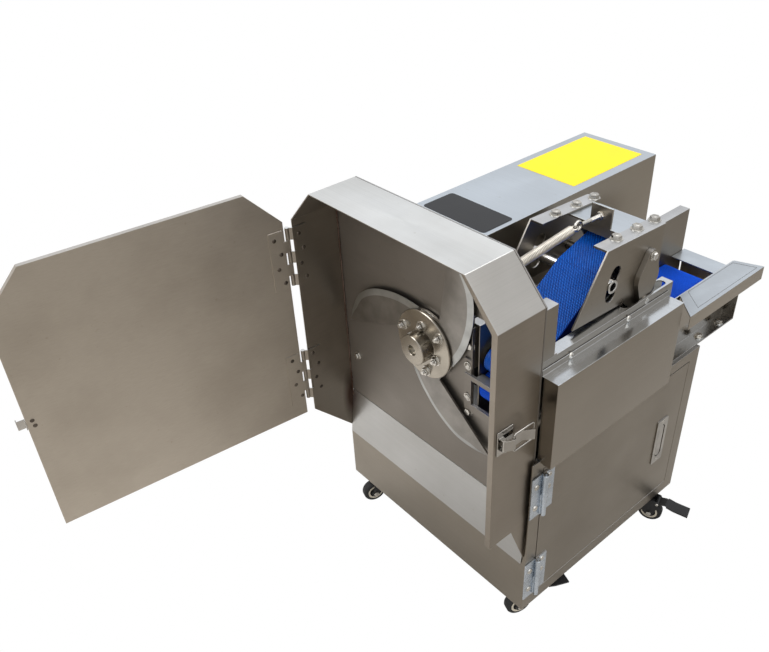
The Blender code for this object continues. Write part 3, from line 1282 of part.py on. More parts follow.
def press_side_outline():
    notch = math.degrees(math.asin(SIDE_LOW / SIDE_LOBE_R))
    heel = math.degrees(math.acos(SIDE_BACK / SIDE_LOBE_R))
    corners = [(SIDE_BACK, SIDE_TOP), (-SIDE_FRONT_TOP, SIDE_TOP), (-SIDE_FRONT, -SIDE_LOW)]
    return arc(0, 0, SIDE_LOBE_R, 180 + notch, 360 - heel) + corners


def curved_slot():
    half = SLOT_W / 2
    ends = [on_ray(SLOT_R, angle) for angle in (SLOT_FROM, SLOT_TO)]
    return (arc(0, 0, SLOT_R + half, SLOT_FROM, SLOT_TO, 5)
            + arc(*ends[1], half, SLOT_TO, SLOT_TO + 180, 30)[1:-1]
            + arc(0, 0, SLOT_R - half, SLOT_TO, SLOT_FROM, 5)
            + arc(*ends[0], half, SLOT_FROM + 180, SLOT_FROM + 360, 30)[1:-1])


def build_press_sides():
    hole = circle(0, 0, PRESS_SHAFT_R + RUN)
    for name, x, inward in (("press_side_plate_right", SIDE_R_X, -1), ("press_side_plate_left", SIDE_L_X, 1)):
        outline = press_side_outline()
        side = piece(name, plate("YZ", x, x + HEAVY, outline, (curved_slot(), hole)), press, STEEL)
        edge = x + HEAVY if inward < 0 else x
        low = min(edge, edge + inward * (SIDE_FLANGE + HEAVY))
        high = max(edge, edge + inward * (SIDE_FLANGE + HEAVY))
        add(side, block((low, -SIDE_FRONT_TOP, SIDE_TOP - HEAVY), (high, SIDE_BACK, SIDE_TOP)))
        if inward > 0:
            inside = x + SHEET / 2
            outside = x - BEARING_T
            bore = PRESS_SHAFT_R + RUN
            ring = BEARING_R * BOSS_SHARE
            boss = [(inside, bore), (inside, ring), (outside, ring), (outside, bore)]
            add(side, turned("X", boss, 0, 0, ROUND, closed=True))


def build_press_frame():
    top = SIDE_TOP - HEAVY - GAP
    low = top - CROSS_T
    x0 = SIDE_L_X + HEAVY + GAP
    x1 = SIDE_R_X - GAP
    frame = piece("press_frame", block((x0, CROSS_Y0, low), (x1, CROSS_Y1, top)), press, TOP_STEEL)
    arm_l = PRESS_X0 - ARM_GAP - ARM_T
    arm_r = PRESS_X1 + ARM_GAP
    add(frame, block((arm_l, CROSS_Y0, top - CROSS_LIP), (arm_r + ARM_T, CROSS_Y0 + CROSS_T, low + CROSS_T / 2)))
    add(frame, block((TAB_X - TAB_W / 2, CROSS_Y0, low + CROSS_T / 2), (TAB_X + TAB_W / 2, CROSS_Y0 + CROSS_T, TAB_Z)))
    span = math.hypot(PRESS_NOSE_Y, PRESS_NOSE_Z)
    heading = math.degrees(math.atan2(PRESS_NOSE_Z, PRESS_NOSE_Y)) % 360
    spread = math.degrees(math.acos((ARM_HUB_R - ARM_NOSE_R) / span))
    arm = arc(PRESS_NOSE_Y, PRESS_NOSE_Z, ARM_NOSE_R, heading - spread, heading + spread, 30)
    arm += arc(0, 0, ARM_HUB_R, heading + spread - 360, 0, 24)
    arm += [(CROSS_Y1, top - ARM_NECK), (CROSS_Y1, low + CROSS_T / 2), (CROSS_Y0 + CROSS_T / 2, low + CROSS_T / 2),
            (CROSS_Y0 + CROSS_T / 2, top - CROSS_LIP)]
    arm.append(on_ray(ARM_HUB_R, heading - spread))
    for x in (arm_l, arm_r):
        add(frame, plate("YZ", x, x + ARM_T, arm))
        cut(frame, rod("X", x - OVER, x + ARM_T + OVER, 0, 0, PRESS_SHAFT_R + RUN))
        cut(frame, rod("X", x - OVER, x + ARM_T + OVER, PRESS_NOSE_Y, PRESS_NOSE_Z, PRESS_NOSE_SHAFT_R + RUN, SMALL))
    cut(frame, rod("Y", CROSS_Y0 - OVER, CROSS_Y0 + CROSS_T + OVER, TAB_X, EYE_Z, EYE_SHANK_R + GAP, SMALL))


def build_press_belt():
    seats = [(0, 0, PRESS_R + GAP), (TUBE_Y, TUBE_Z, TUBE_R + GAP),
             (PRESS_NOSE_Y, PRESS_NOSE_Z, PRESS_NOSE_R + GAP)]
    band = plate("YZ", PRESS_X0, PRESS_X1, loop(wider(seats, BELT_T)), (loop(seats),))
    piece("press_belt", band, press, BELT_BLUE)
    right = SIDE_R_X + HEAVY + TUBE_PROUD
    left = SIDE_L_X - TUBE_PROUD
    tube = [(right, TUBE_BORE_R), (right, TUBE_R), (left, TUBE_R), (left, TUBE_BORE_R)]
    piece("tension_tube", turned("X", tube, TUBE_Y, TUBE_Z, ROUND, closed=True), press, POLISHED)


def build_press_rollers():
    x0 = PRESS_X0 + RUN
    x1 = PRESS_X1 - RUN
    far = SIDE_R_X + HEAVY + BEARING_T - THIN
    near = BOX_X1 - SHEET * 4
    drive = [(far, 0), (far, PRESS_SHAFT_R), (x1, PRESS_SHAFT_R), (x1, PRESS_R), (x0, PRESS_R), (x0, PRESS_SHAFT_R),
             (near, PRESS_SHAFT_R), (near, 0)]
    piece("press_drive_roller", turned("X", drive, 0, 0, FINE), press_drive, STEEL)
    shaft = PRESS_NOSE_SHAFT_R
    right = PRESS_X1 + ARM_GAP + ARM_T + THIN
    left = PRESS_X0 - ARM_GAP - ARM_T - THIN
    nose = [(right, 0), (right, shaft), (x1, shaft), (x1, PRESS_NOSE_R), (x0, PRESS_NOSE_R), (x0, shaft), (left, shaft),
            (left, 0)]
    piece("press_nose_roller", turned("X", nose, 0, 0, ROUND), press_nose, STEEL)


def build_bearing():
    x0 = SIDE_R_X + HEAVY + GAP
    turn = math.radians(BEARING_ANGLE)
    y = BEARING_EAR * math.cos(turn)
    z = BEARING_EAR * math.sin(turn)
    outline = loop([(-y, -z, BEARING_EAR_R), (0, 0, BEARING_R), (y, z, BEARING_EAR_R), (0, 0, BEARING_R)])
    flange = piece("press_bearing_right", plate("YZ", x0, x0 + BEARING_T, outline), press, STEEL)
    cut(flange, rod("X", x0 - OVER, x0 + BEARING_T - THIN, 0, 0, PRESS_SHAFT_R + RUN))


def build_eye_bolt():
    back = CROSS_Y0 + CROSS_T
    shank = rod("Y", EYE_Y + EYE_RING_R, EYE_BACK, TAB_X, EYE_Z, EYE_SHANK_R, SMALL)
    bolt = piece("spring_eye_bolt", shank, press, POLISHED)
    outline = circle(EYE_Y, EYE_Z, EYE_RING_R + EYE_WIRE_R, SMALL)
    eye = circle(EYE_Y, EYE_Z, EYE_RING_R - EYE_WIRE_R, SMALL)
    add(bolt, plate("YZ", TAB_X - EYE_WIRE_R, TAB_X + EYE_WIRE_R, outline, (eye,)))
    for y0, y1 in ((CROSS_Y0 - GAP - EYE_NUT_T, CROSS_Y0 - GAP), (back + GAP, back + GAP + EYE_NUT_T)):
        add(bolt, rod("Y", y0, y1, TAB_X, EYE_Z, EYE_NUT_R, 6))


def build_spring():
    tilt = math.radians(-PRESS_TILT)
    eye_y = PIVOT_Y + EYE_Y * math.cos(tilt) - EYE_Z * math.sin(tilt)
    eye_z = PIVOT_Z + EYE_Y * math.sin(tilt) + EYE_Z * math.cos(tilt)
    first = Vector((TAB_X, ANCHOR_Y, SPRING_Z))
    last = Vector((TAB_X - EYE_WIRE_R - SPRING_WIRE - GAP, eye_y, eye_z))
    along = (last - first).normalized()
    up = along.cross(Vector((1, 0, 0))).normalized()
    side = up.cross(along)
    start = first + along * SPRING_START
    end = last - along * SPRING_END
    count = SPRING_TURNS * SPRING_STEPS
    coil = []
    for i in range(count + 1):
        angle = 2 * math.pi * i / SPRING_STEPS
        centre = start.lerp(end, i / count)
        coil.append(centre + (up * math.cos(angle) + side * math.sin(angle)) * SPRING_R)
    hook = Vector((ANCHOR_HOLE, 0, 0))
    points = [first + hook, first, start - along * SPRING_R / 2] + coil
    points += [end + along * SPRING_R / 2, last, last + hook * 2]
    piece("tension_spring", wire(points, SPRING_WIRE), machine, SPRING_STEEL)


def seat_on_floor():
    """Moves the machine so that its box stands on Z = 0 with its middle over the origin."""
    bpy.context.view_layer.update()
    graph = bpy.context.evaluated_depsgraph_get()
    corners = []
    for made in PARTS.objects:
        if made.type == "MESH":
            seen = made.evaluated_get(graph)
            corners += [seen.matrix_world @ vert.co for vert in seen.data.vertices]
    low = Vector([min(c[i] for c in corners) for i in range(3)])
    high = Vector([max(c[i] for c in corners) for i in range(3)])
    machine.location = (-(low.x + high.x) / 2, -(low.y + high.y) / 2, -low.z)
    bpy.context.view_layer.update()


build_hood()
build_back_plate()
build_shear_frame()
build_apron()
build_cabinet()
build_cabinet_door()
build_cabinet_hinges()
for place_name, spot, heading, brake_side in zip(CASTOR_NAMES, CASTOR_PLACES, CASTOR_TURNS, PEDAL_SIDES):
    build_castor(place_name, spot, heading, brake_side)
build_rotor()
build_knife_drive()
build_chamber_door()
build_hood_hinges()
build_latch()
build_right_side()
build_wing()
build_left_side()
build_end_plate()
build_infeed_belt()
build_side_cover()
build_throat_guard()
build_control_box()
build_gear_motor()
build_press_sides()
build_press_frame()
build_press_belt()
build_press_rollers()
build_bearing()
build_eye_bolt()
build_spring()
seat_on_floor()
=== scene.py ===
"""Looks of the vegetable cutting machine: finishes, belts, fasteners, spring, castors, camera and studio."""
import json
import math

import bmesh
import bpy
from mathutils import Matrix, Vector


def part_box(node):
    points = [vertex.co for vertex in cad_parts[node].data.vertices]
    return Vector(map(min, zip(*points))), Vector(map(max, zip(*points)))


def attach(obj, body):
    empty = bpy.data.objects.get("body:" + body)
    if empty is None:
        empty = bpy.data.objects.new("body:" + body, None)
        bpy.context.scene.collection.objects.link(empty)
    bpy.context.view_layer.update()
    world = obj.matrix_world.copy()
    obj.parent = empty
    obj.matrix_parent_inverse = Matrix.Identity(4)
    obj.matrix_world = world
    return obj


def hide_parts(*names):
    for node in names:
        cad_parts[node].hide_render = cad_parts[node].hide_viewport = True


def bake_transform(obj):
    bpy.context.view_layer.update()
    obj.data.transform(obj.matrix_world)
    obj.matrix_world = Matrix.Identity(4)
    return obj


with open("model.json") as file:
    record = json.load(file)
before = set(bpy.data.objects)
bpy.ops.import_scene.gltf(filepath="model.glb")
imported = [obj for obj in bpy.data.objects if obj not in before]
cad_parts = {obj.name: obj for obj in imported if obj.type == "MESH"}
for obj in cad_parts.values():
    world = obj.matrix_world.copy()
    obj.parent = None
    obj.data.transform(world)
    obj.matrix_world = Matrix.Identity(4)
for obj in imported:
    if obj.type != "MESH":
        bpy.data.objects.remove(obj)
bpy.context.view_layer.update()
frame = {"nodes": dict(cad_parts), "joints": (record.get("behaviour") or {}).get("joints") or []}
JOINTS = {joint["name"]: joint for joint in frame["joints"]}

# The CAD was drawn from the hood's left front edge and the cabinet's underside
HOOD_TOP = 0.626
HOOD_LOW, HOOD_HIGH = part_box("knife_hood")
ORIGIN = Vector((HOOD_LOW.x, HOOD_LOW.y, HOOD_HIGH.z - HOOD_TOP))

# Knife rotor
KNIFE_X = 0.211
KNIFE_Z = 0.4125
BLADE_ANGLES = (194.7, 74.7, 314.7)
BLADE_TIP_R = 0.1927
BLADE_T = 0.003
BLADE_EDGE_T = 0.0006
BLADE_BEVEL = 0.010
BLADE_EDGE_SHARES = ((0.165, -0.349), (0.328, -0.372), (0.546, -0.361), (0.754, -0.290), (0.905, -0.150))
BLADE_HEEL_SHARE = 0.300
BLADE_BACK_SHARE = (0.300, -0.082)
BLADE_TAPER_SHARE = 0.80
BLADE_ROOT_R = 0.0535
BLADE_BACK_Y = 0.0776
SPIGOT_R = 0.0115
FLANGE_Y = 0.0698
FLANGE_T = 0.0045
FLANGE_R = 0.056
BOSS_Y = 0.0478
BOSS_R = 0.0243
BOSS_BORE_R = 0.0081
STUD_RINGS = ((0.0451, -35.5), (0.0318, 18.5))
STUD_NUT_R = 0.0066
STUD_REACH = 0.0038
HUB_EDGE = 0.0010
BLADE_ROOT_TURN = 29
SET_SCREW_TURN = 128
SET_SCREW_IN = 0.010
GAP = 0.0003

# Chamber door pin and hinges
PIN = Vector((-0.003, -0.007, 0))
DOOR_OPEN = 95.57
DOOR_EDGE = 0.007
DOOR_FACE = 0.0030
DOOR_LEAF_FACE = 0.0045
HOOD_LEAF_FACE = 0.0038
DOOR_RIVETS = ((.018, .542), (.009, .516), (.016, .492), (.008, .466),
               (.016, .318), (.008, .293), (.015, .268), (.006, .241))
HOOD_RIVETS = ((.009, .542), (.015, .516), (.008, .491), (.015, .465),
               (.008, .318), (.017, .293), (.010, .267), (.017, .242))

STRIKE_RIVETS = ((.0085, .0050), (.0100, -.0045))
STRIKE_RIVET_R = 0.0032
RIVET_R = 0.0034
RIVET_H = 0.0010

# Chamber back: bolts, and the weld in the hood's back left corner
CHAMBER_BOLTS = ((.0266, .286), (.294, .328), (.296, .4475))
CHAMBER_BOLT_Y = 0.0843
CHAMBER_BOLT_R = 0.0058
FRAME_BOLTS = ((.293, .412), (.293, .356), (.407, .412), (.407, .356))
FRAME_BOLT_Y = 0.0810
FRAME_BOLT_R = 0.0052
LOW_HEAD_SHARE = 0.28
WELD_X = 0.0026
WELD_Y = 0.0832
WELD_Z = 0.1870
WELD_LENGTH = 0.380
WELD_STEPS = 120
HEAT_SPOT = (0.002, 0.080, 0.185)
HEAT_STRETCH = (46, 42, 13)

# Press unit, about its shaft
PIVOT = Vector((0, 0.316, 0.508))
PRESS_TILT = 2.5
PRESS_SEATS = ((0, 0, 0.0463), (-0.07560, 0.01170, 0.0103), (-0.2032, -0.0924, 0.0173))
PRESS_BELT_X = (0.3155, 0.3915)
PRESS_BELT_T = 0.0020
BUMP_H = 0.0004
BUMP_ALONG = 0.0034
BUMP_ACROSS = 0.0030
BUMP_TOP_SHARE = 0.64
SIDE_TOP = 0.0713
FLANGE_BOLT_Y = (0.258, 0.304, 0.345)
FLANGE_BOLT_X = (0.388, 0.285)
BEARING_X = 0.4123
BEARING_BOLTS = ((0.0015, 0.035), (-0.0015, -0.035))
SPOT_MARK = (0.4041, -0.047, -0.0235)
SPOT_MARK_R = 0.0046
EYE_Y = -0.0865
EYE_Z = 0.084
EYE_R = 0.0065
EYE_WIRE_R = 0.0021
THREAD_FROM = -0.060
THREAD_TO = -0.026
THREAD_TURNS = 30
TAB_X = 0.345
TAB_NUTS = ((-0.0363, -1), (-0.0327, 1))

# Lower belt
LOWER_SEATS = ((0.111, 0.376, 0.0223), (0.527, 0.376, 0.0223))
LOWER_BELT_X = (0.311, 0.3955)
RIB_PITCH = 0.0032
RIB_H = 0.0006
LOWER_BELT_T = 0.0014

# Spring
SPRING_ANCHOR = Vector((0.3478, 0.09947, 0.585))
SPRING_R = 0.0055
SPRING_WIRE = 0.00110
SPRING_PITCH = 0.00262
FRONT_HOOK = 0.013
FRONT_HOOK_MID = 0.006
FRONT_HOOK_LONG = 0.0058
FRONT_HOOK_WIDE = 0.0050
REAR_HOOK = 0.014
REAR_HOOK_MID = 0.0075
REAR_HOOK_R = 0.0045

# Cabinet door: foot level of each hinge, and the lock
HINGE_FEET = (.209, .028)
HINGE_LEAF = ((.1045, .0018), (.1222, .0018), (.1222, .0782), (.1045, .0782))
SLEEVE_RISE = 0.0402
SLEEVE_PROFILE = ((.0030, 0), (.0042, 0), (.0046, .0004), (.0046, .0392), (.0042, .0396), (.0030, .0396),
                  (.0030, 0))
LOCK_Y = 0.408
LOCK_Z = 0.155
LOCK_FACE_X = 0.4277
LOCK_FACE_T = 0.0004
LOCK_SCREWS = (.1125, .1975)

# Infeed wing outline, rising from its inner edge
WING_CORNERS = ((0.4035, 0.452), (0.4445, 0.411), (0.4445, 0.578), (0.4035, 0.580))
WING_EDGE_X = 0.4013
WING_Z = 0.4216
WING_SLOPE = 0.0105 / (0.451 - WING_EDGE_X)

# Castors
WHEEL_HALF_W = 0.0085
WHEEL_BORE_R = 0.0035
FORK_GAP = 0.0012
FORK_T = 0.0025
FORK_FACE = WHEEL_HALF_W + FORK_GAP + FORK_T
CASTOR_BOLT_AT = 0.017
CASTOR_PLATE_T = 0.0025

# Control box top
BOX_TOP = 0.558
BLACK_PLATE = (0.092, 0.1815, 0.222, 0.245)
YELLOW_PLATE = (0.094, 0.394, 0.213, 0.573)
FILM_GAP = 0.0001

# Control box left face: two buttons and a knob
CONTROL_X = 0.0770
CONTROL_Y = (.220, .262, .304)
CONTROL_Z = 0.455
CONTROL_RING_R = 0.0135
KNOB_GAP = 0.0005
KNOB_H = 0.016
POINTER = ((.3032, .4560), (.3048, .4560), (.3048, .4670), (.3032, .4670))

# Photograph: focal length, eye and directions in the frame of the CAD drawing
LENS_MM = 37.158
SENSOR_MM = 36.0
EYE = Vector((0.92173, -0.55900, 1.09703))
AHEAD = Vector((-0.64874, 0.51041, -0.56446))
RIGHT = Vector((0.64310, 0.76427, -0.04803))

# Studio: name, place, size and power of each lamp
LAMPS = (("key light", (-1.2, -1.9, 2.6), 1.6, 34), ("fill light", (2.4, -0.6, 1.6), 1.8, 16),
         ("top light", (0.2, 0.6, 2.8), 2.0, 26))
LAMP_AIM = Vector((0, 0.1, 0.35))

PRESS_TURN = Matrix.Rotation(math.radians(-PRESS_TILT), 4, "X")
PRESS_UP = (PRESS_TURN @ Vector((0, 0, 1))).normalized()
PRESS_BACK = (PRESS_TURN @ Vector((0, 1, 0))).normalized()
DOOR_TURN = Matrix.Rotation(math.radians(-DOOR_OPEN), 4, "Z")
DOOR_OUT = (DOOR_TURN @ Vector((0, 1, 0))).normalized()


def place(x, y, z):
    """A point of the CAD drawing in the row frame."""
    return ORIGIN + Vector((x, y, z))


def press_point(x, y, z):
    """A point given about the press unit's shaft, in the row frame."""
    turned = PRESS_TURN @ Vector((0, y, z))
    return ORIGIN + PIVOT + Vector((x, turned.y, turned.z))


def door_point(u, v, z):
    """A point of the chamber door, given as it hangs when shut: u from the pin, v towards the hood."""
    turned = DOOR_TURN @ Vector((u, v, 0))
    return ORIGIN + PIN + Vector((turned.x, turned.y, z))


def knife_point(radius, angle, y):
    """A point of the knife rotor, the angle in degrees from X towards Z."""
    turn = math.radians(angle)
    return place(KNIFE_X + radius * math.cos(turn), y, KNIFE_Z + radius * math.sin(turn))


def node(tree, kind, **values):
    made = tree.nodes.new(kind)
    for key, value in values.items():
        setattr(made, key, value)
    return made


def noise(tree, vector, scale, detail, stretch=(1, 1, 1)):
    mapping = node(tree, "ShaderNodeMapping")
    mapping.inputs["Scale"].default_value = stretch
    tree.links.new(vector, mapping.inputs["Vector"])
    made = node(tree, "ShaderNodeTexNoise")
    made.inputs["Scale"].default_value = scale
    made.inputs["Detail"].default_value = detail
    tree.links.new(mapping.outputs["Vector"], made.inputs["Vector"])
    return made.outputs["Fac"]


def ramp(tree, source, stops):
    made = node(tree, "ShaderNodeValToRGB")
    elements = made.color_ramp.elements
    while len(elements) < len(stops):
        elements.new(0.5)
    for element, (position, colour) in zip(elements, stops):
        element.position = position
        element.color = (*colour, 1)
    tree.links.new(source, made.inputs["Fac"])
    return made.outputs["Color"]


def mix(tree, factor, one, two, blend="MIX"):
    made = node(tree, "ShaderNodeMix", data_type="RGBA", blend_type=blend)
    for value, name in ((factor, "Factor"), (one, "A"), (two, "B")):
        sockets = [s for s in made.inputs if s.name == name]
        socket = sockets[0] if name == "Factor" else [s for s in sockets if s.type == "RGBA"][0]
        if hasattr(value, "node"):
            tree.links.new(value, socket)
        elif isinstance(value, (int, float)):
            socket.default_value = value
        else:
            socket.default_value = (*value, 1)
    return [s for s in made.outputs if s.type == "RGBA"][0]


def maths(tree, operation, one, two=None):
    made = node(tree, "ShaderNodeMath", operation=operation)
    for value, socket in zip((one, two), made.inputs):
        if value is None:
            continue
        if hasattr(value, "node"):
            tree.links.new(value, socket)
        else:
            socket.default_value = value
    return made.outputs[0]


def start(name, metallic=0.0):
    made = bpy.data.materials.new(name)
    made.use_nodes = True
    tree = made.node_tree
    shader = tree.nodes["Principled BSDF"]
    shader.inputs["Metallic"].default_value = metallic
    coordinates = node(tree, "ShaderNodeTexCoord")
    return made, tree, shader, coordinates


def bump(tree, shader, height, strength, distance):
    made = node(tree, "ShaderNodeBump")
    made.inputs["Strength"].default_value = strength
    made.inputs["Distance"].default_value = distance
    tree.links.new(height, made.inputs["Height"])
    tree.links.new(made.outputs["Normal"], shader.inputs["Normal"])


def spread(tree, source, low=0.0, high=1.0, source_low=0.0, source_high=1.0):
    """Maps the source's range to low and high."""
    made = node(tree, "ShaderNodeMapRange")
    limits = (("From Min", source_low), ("From Max", source_high), ("To Min", low), ("To Max", high))
    for name, value in limits:
        made.inputs[name].default_value = value
    tree.links.new(source, made.inputs["Value"])
    return made.outputs[0]


def distance(tree, where, centre, stretch):
    """Distance from the centre, with each axis stretched."""
    shift = node(tree, "ShaderNodeVectorMath", operation="SUBTRACT")
    shift.inputs[1].default_value = centre
    tree.links.new(where, shift.inputs[0])
    squeeze = node(tree, "ShaderNodeVectorMath", operation="MULTIPLY")
    squeeze.inputs[1].default_value = stretch
    tree.links.new(shift.outputs[0], squeeze.inputs[0])
    length = node(tree, "ShaderNodeVectorMath", operation="LENGTH")
    tree.links.new(squeeze.outputs[0], length.inputs[0])
    return length.outputs["Value"]


def sheet_steel(name, side, top, rough=0.34, smudge=0.5, seam=None):
    """Brushed sheet: one colour for upright faces and a lighter one for level ones, which paints the light
    falling on tops, with lines, smudges and spots.
    """
    made, tree, shader, coordinates = start(name, 1.0)
    where = coordinates.outputs["Object"]
    normal = node(tree, "ShaderNodeSeparateXYZ")
    tree.links.new(coordinates.outputs["Normal"], normal.inputs[0])
    # Painted light: the lighter top colour is blended in as faces turn up, standing in for the light and sky
    # reflection that fall on level faces.
    level = maths(tree, "POWER", maths(tree, "MAXIMUM", normal.outputs["Z"], 0.0), 2.5)
    base = mix(tree, level, side, top)
    along_x = noise(tree, where, 60, 4, (0.04, 14, 14))
    along_y = noise(tree, where, 60, 4, (14, 0.04, 14))
    facing = maths(tree, "GREATER_THAN", maths(tree, "ABSOLUTE", normal.outputs["X"]), 0.7)
    lines = mix(tree, facing, along_x, along_y)
    shade = ramp(tree, lines, ((0.30, (0.90, 0.90, 0.90)), (0.70, (1.06, 1.06, 1.06))))
    base = mix(tree, 0.5, base, shade, "MULTIPLY")
    cloud = noise(tree, where, 5.5, 6)
    blotch = ramp(tree, cloud, ((0.32, (0.78, 0.76, 0.74)), (0.62, (1.10, 1.10, 1.11))))
    base = mix(tree, smudge, base, blotch, "MULTIPLY")
    spots = noise(tree, where, 140, 2)
    speck = ramp(tree, spots, ((0.70, (1, 1, 1)), (0.80, (0.72, 0.68, 0.62))))
    base = mix(tree, 0.35, base, speck, "MULTIPLY")
    if seam:
        base = heat_mark(tree, where, base, seam)
    tree.links.new(base, shader.inputs["Base Color"])
    wipe = noise(tree, where, 9, 5, (1, 1, 2.5))
    rough_by = mix(tree, 0.45, wipe, lines)
    tree.links.new(spread(tree, rough_by, rough - 0.10, rough + 0.14), shader.inputs["Roughness"])
    shader.inputs["Anisotropic"].default_value = 0.35
    bump(tree, shader, lines, 0.03, 0.0003)
    return made


def heat_mark(tree, where, base, seam):
    """Brown heat tint round the lower end of a weld."""
    away = distance(tree, where, seam, HEAT_STRETCH)
    tint = ramp(tree, away, ((0.25, (0.17, 0.08, 0.055)), (0.85, (1, 1, 1))))
    return mix(tree, 0.9, base, tint, "MULTIPLY")


def plain_metal(name, colour, rough, grain=0.25, scale=120, worn=None):
    """Small metal pieces: slight colour and roughness change, fine grain, darker or lighter worn patches."""
    made, tree, shader, coordinates = start(name, 1.0)
    where = coordinates.outputs["Object"]
    patch = noise(tree, where, 35, 4)
    fine = noise(tree, where, scale, 3)
    low = tuple(c * 0.72 for c in colour)
    high = worn or tuple(min(1.0, c * 1.12) for c in colour)
    base = ramp(tree, patch, ((0.35, low), (0.62, high)))
    tree.links.new(mix(tree, 0.55, colour, base), shader.inputs["Base Color"])
    tree.links.new(spread(tree, fine, rough - 0.07, rough + 0.10), shader.inputs["Roughness"])
    bump(tree, shader, fine, grain * 0.2, 0.0002)
    return made


def ringed_metal(name, colour, rough, centre):
    """Turned metal with fine rings about an axis along Y through the centre."""
    made, tree, shader, coordinates = start(name, 1.0)
    where = coordinates.outputs["Object"]
    combined = node(tree, "ShaderNodeCombineXYZ")
    tree.links.new(distance(tree, where, centre, (1, 0, 1)), combined.inputs[0])
    rings = noise(tree, combined.outputs[0], 1500, 2)
    patch = noise(tree, where, 26, 4)
    base = ramp(tree, patch, ((0.35, tuple(c * 0.80 for c in colour)), (0.65, colour)))
    shade = ramp(tree, rings, ((0.3, (0.86, 0.86, 0.86)), (0.7, (1.08, 1.08, 1.08))))
    tree.links.new(mix(tree, 0.5, base, shade, "MULTIPLY"), shader.inputs["Base Color"])
    tree.links.new(spread(tree, rings, rough - 0.05, rough + 0.10), shader.inputs["Roughness"])
    bump(tree, shader, rings, 0.08, 0.0002)
    return made


def soft_plastic(name, colour, rough, grain=0.3, scale=300, shine=0.30, patchy=0.22):
    """Plastic, rubber or paint: patches of a darker and a paler tone, and a fine grain."""
    made, tree, shader, coordinates = start(name)
    where = coordinates.outputs["Object"]
    patch = noise(tree, where, 18, 4)
    fine = noise(tree, where, scale, 2)
    pale = tuple(min(1, c * (1 + patchy * 0.7)) for c in colour)
    base = ramp(tree, patch, ((0.3, tuple(c * (1 - patchy) for c in colour)), (0.7, pale)))
    tree.links.new(base, shader.inputs["Base Color"])
    tree.links.new(spread(tree, patch, rough - 0.06, rough + 0.10), shader.inputs["Roughness"])
    shader.inputs["Specular IOR Level"].default_value = shine
    bump(tree, shader, fine, grain, 0.0002)
    return made


# Each sheet's second colour is a lighter copy that paints the light falling on level faces.
STEEL_SIDE = (0.275, 0.243, 0.203)
STEEL_TOP_PAINTED_LIGHT = (0.72, 0.73, 0.72)
HOOD_STEEL = sheet_steel("hood sheet", STEEL_SIDE, STEEL_TOP_PAINTED_LIGHT, 0.34, 0.55, tuple(place(*HEAT_SPOT)))
STEEL = sheet_steel("brushed sheet", (0.262, 0.235, 0.196), (0.56, 0.57, 0.58))
# The door sheet is a lighter copy of the brushed steel; its colour paints the reflection the door shows.
DOOR_STEEL_PAINTED_LIGHT = sheet_steel("door sheet with painted reflection", (0.43, 0.385, 0.325), (0.50, 0.48, 0.45), 0.46, 0.6)
PALE_STEEL = sheet_steel("pale sheet", (0.362, 0.328, 0.278), (0.56, 0.61, 0.66), 0.32, 0.25)
CHUTE_STEEL = sheet_steel("chute sheet", (0.42, 0.42, 0.412), (0.50, 0.505, 0.505), 0.30, 0.45)
# Rail sheet: low roughness for its polish, and a lighter top colour that paints the bright highlight stripes
# along the rails.
RAIL_STEEL = sheet_steel("bright rail sheet", (0.300, 0.272, 0.232), (0.66, 0.69, 0.72), 0.16, 0.30)
BACK_STEEL = sheet_steel("chamber back sheet", (0.228, 0.208, 0.184), (0.4, 0.4, 0.4), 0.48, 0.55)
HUB_STEEL = ringed_metal("polished hub", (0.40, 0.365, 0.31), 0.20, tuple(place(KNIFE_X, 0, KNIFE_Z)))
BLADE_STEEL = plain_metal("blade face", (0.250, 0.235, 0.215), 0.36, 0.3, 160)
EDGE_STEEL = plain_metal("ground edge", (0.400, 0.405, 0.395), 0.34, 0.6, 420)
BOLT_STEEL = plain_metal("bright fasteners", (0.56, 0.54, 0.50), 0.24)
RIVET_STEEL = plain_metal("dark rivets", (0.080, 0.066, 0.055), 0.40, 0.5, 200, (0.20, 0.17, 0.14))
ZINC = plain_metal("zinc plating", (0.50, 0.55, 0.61), 0.26, 0.2, 120)
LOCK_STEEL = plain_metal("lock plate", (0.40, 0.385, 0.36), 0.30, 0.2)
CHROME = plain_metal("latch plating", (0.47, 0.45, 0.42), 0.16, 0.1)
SPRING_STEEL = plain_metal("spring wire", (0.68, 0.64, 0.57), 0.34, 0.1)
TUBE_STEEL = plain_metal("tube", (0.60, 0.59, 0.57), 0.20)
WELD_BROWN = plain_metal("weld bead", (0.105, 0.062, 0.045), 0.50, 1.0, 260, (0.22, 0.17, 0.14))
CAST_GREY = soft_plastic("painted casting", (0.16, 0.18, 0.20), 0.50, 0.6, 220)
BLACK_STEEL = soft_plastic("black lacquer", (0.018, 0.018, 0.019), 0.30, 0.25)
BLACK_RUBBER = soft_plastic("tyre rubber", (0.016, 0.016, 0.016), 0.55, 0.5)
BEIGE = soft_plastic("beige wheel disc", (0.58, 0.53, 0.43), 0.42, 0.2)
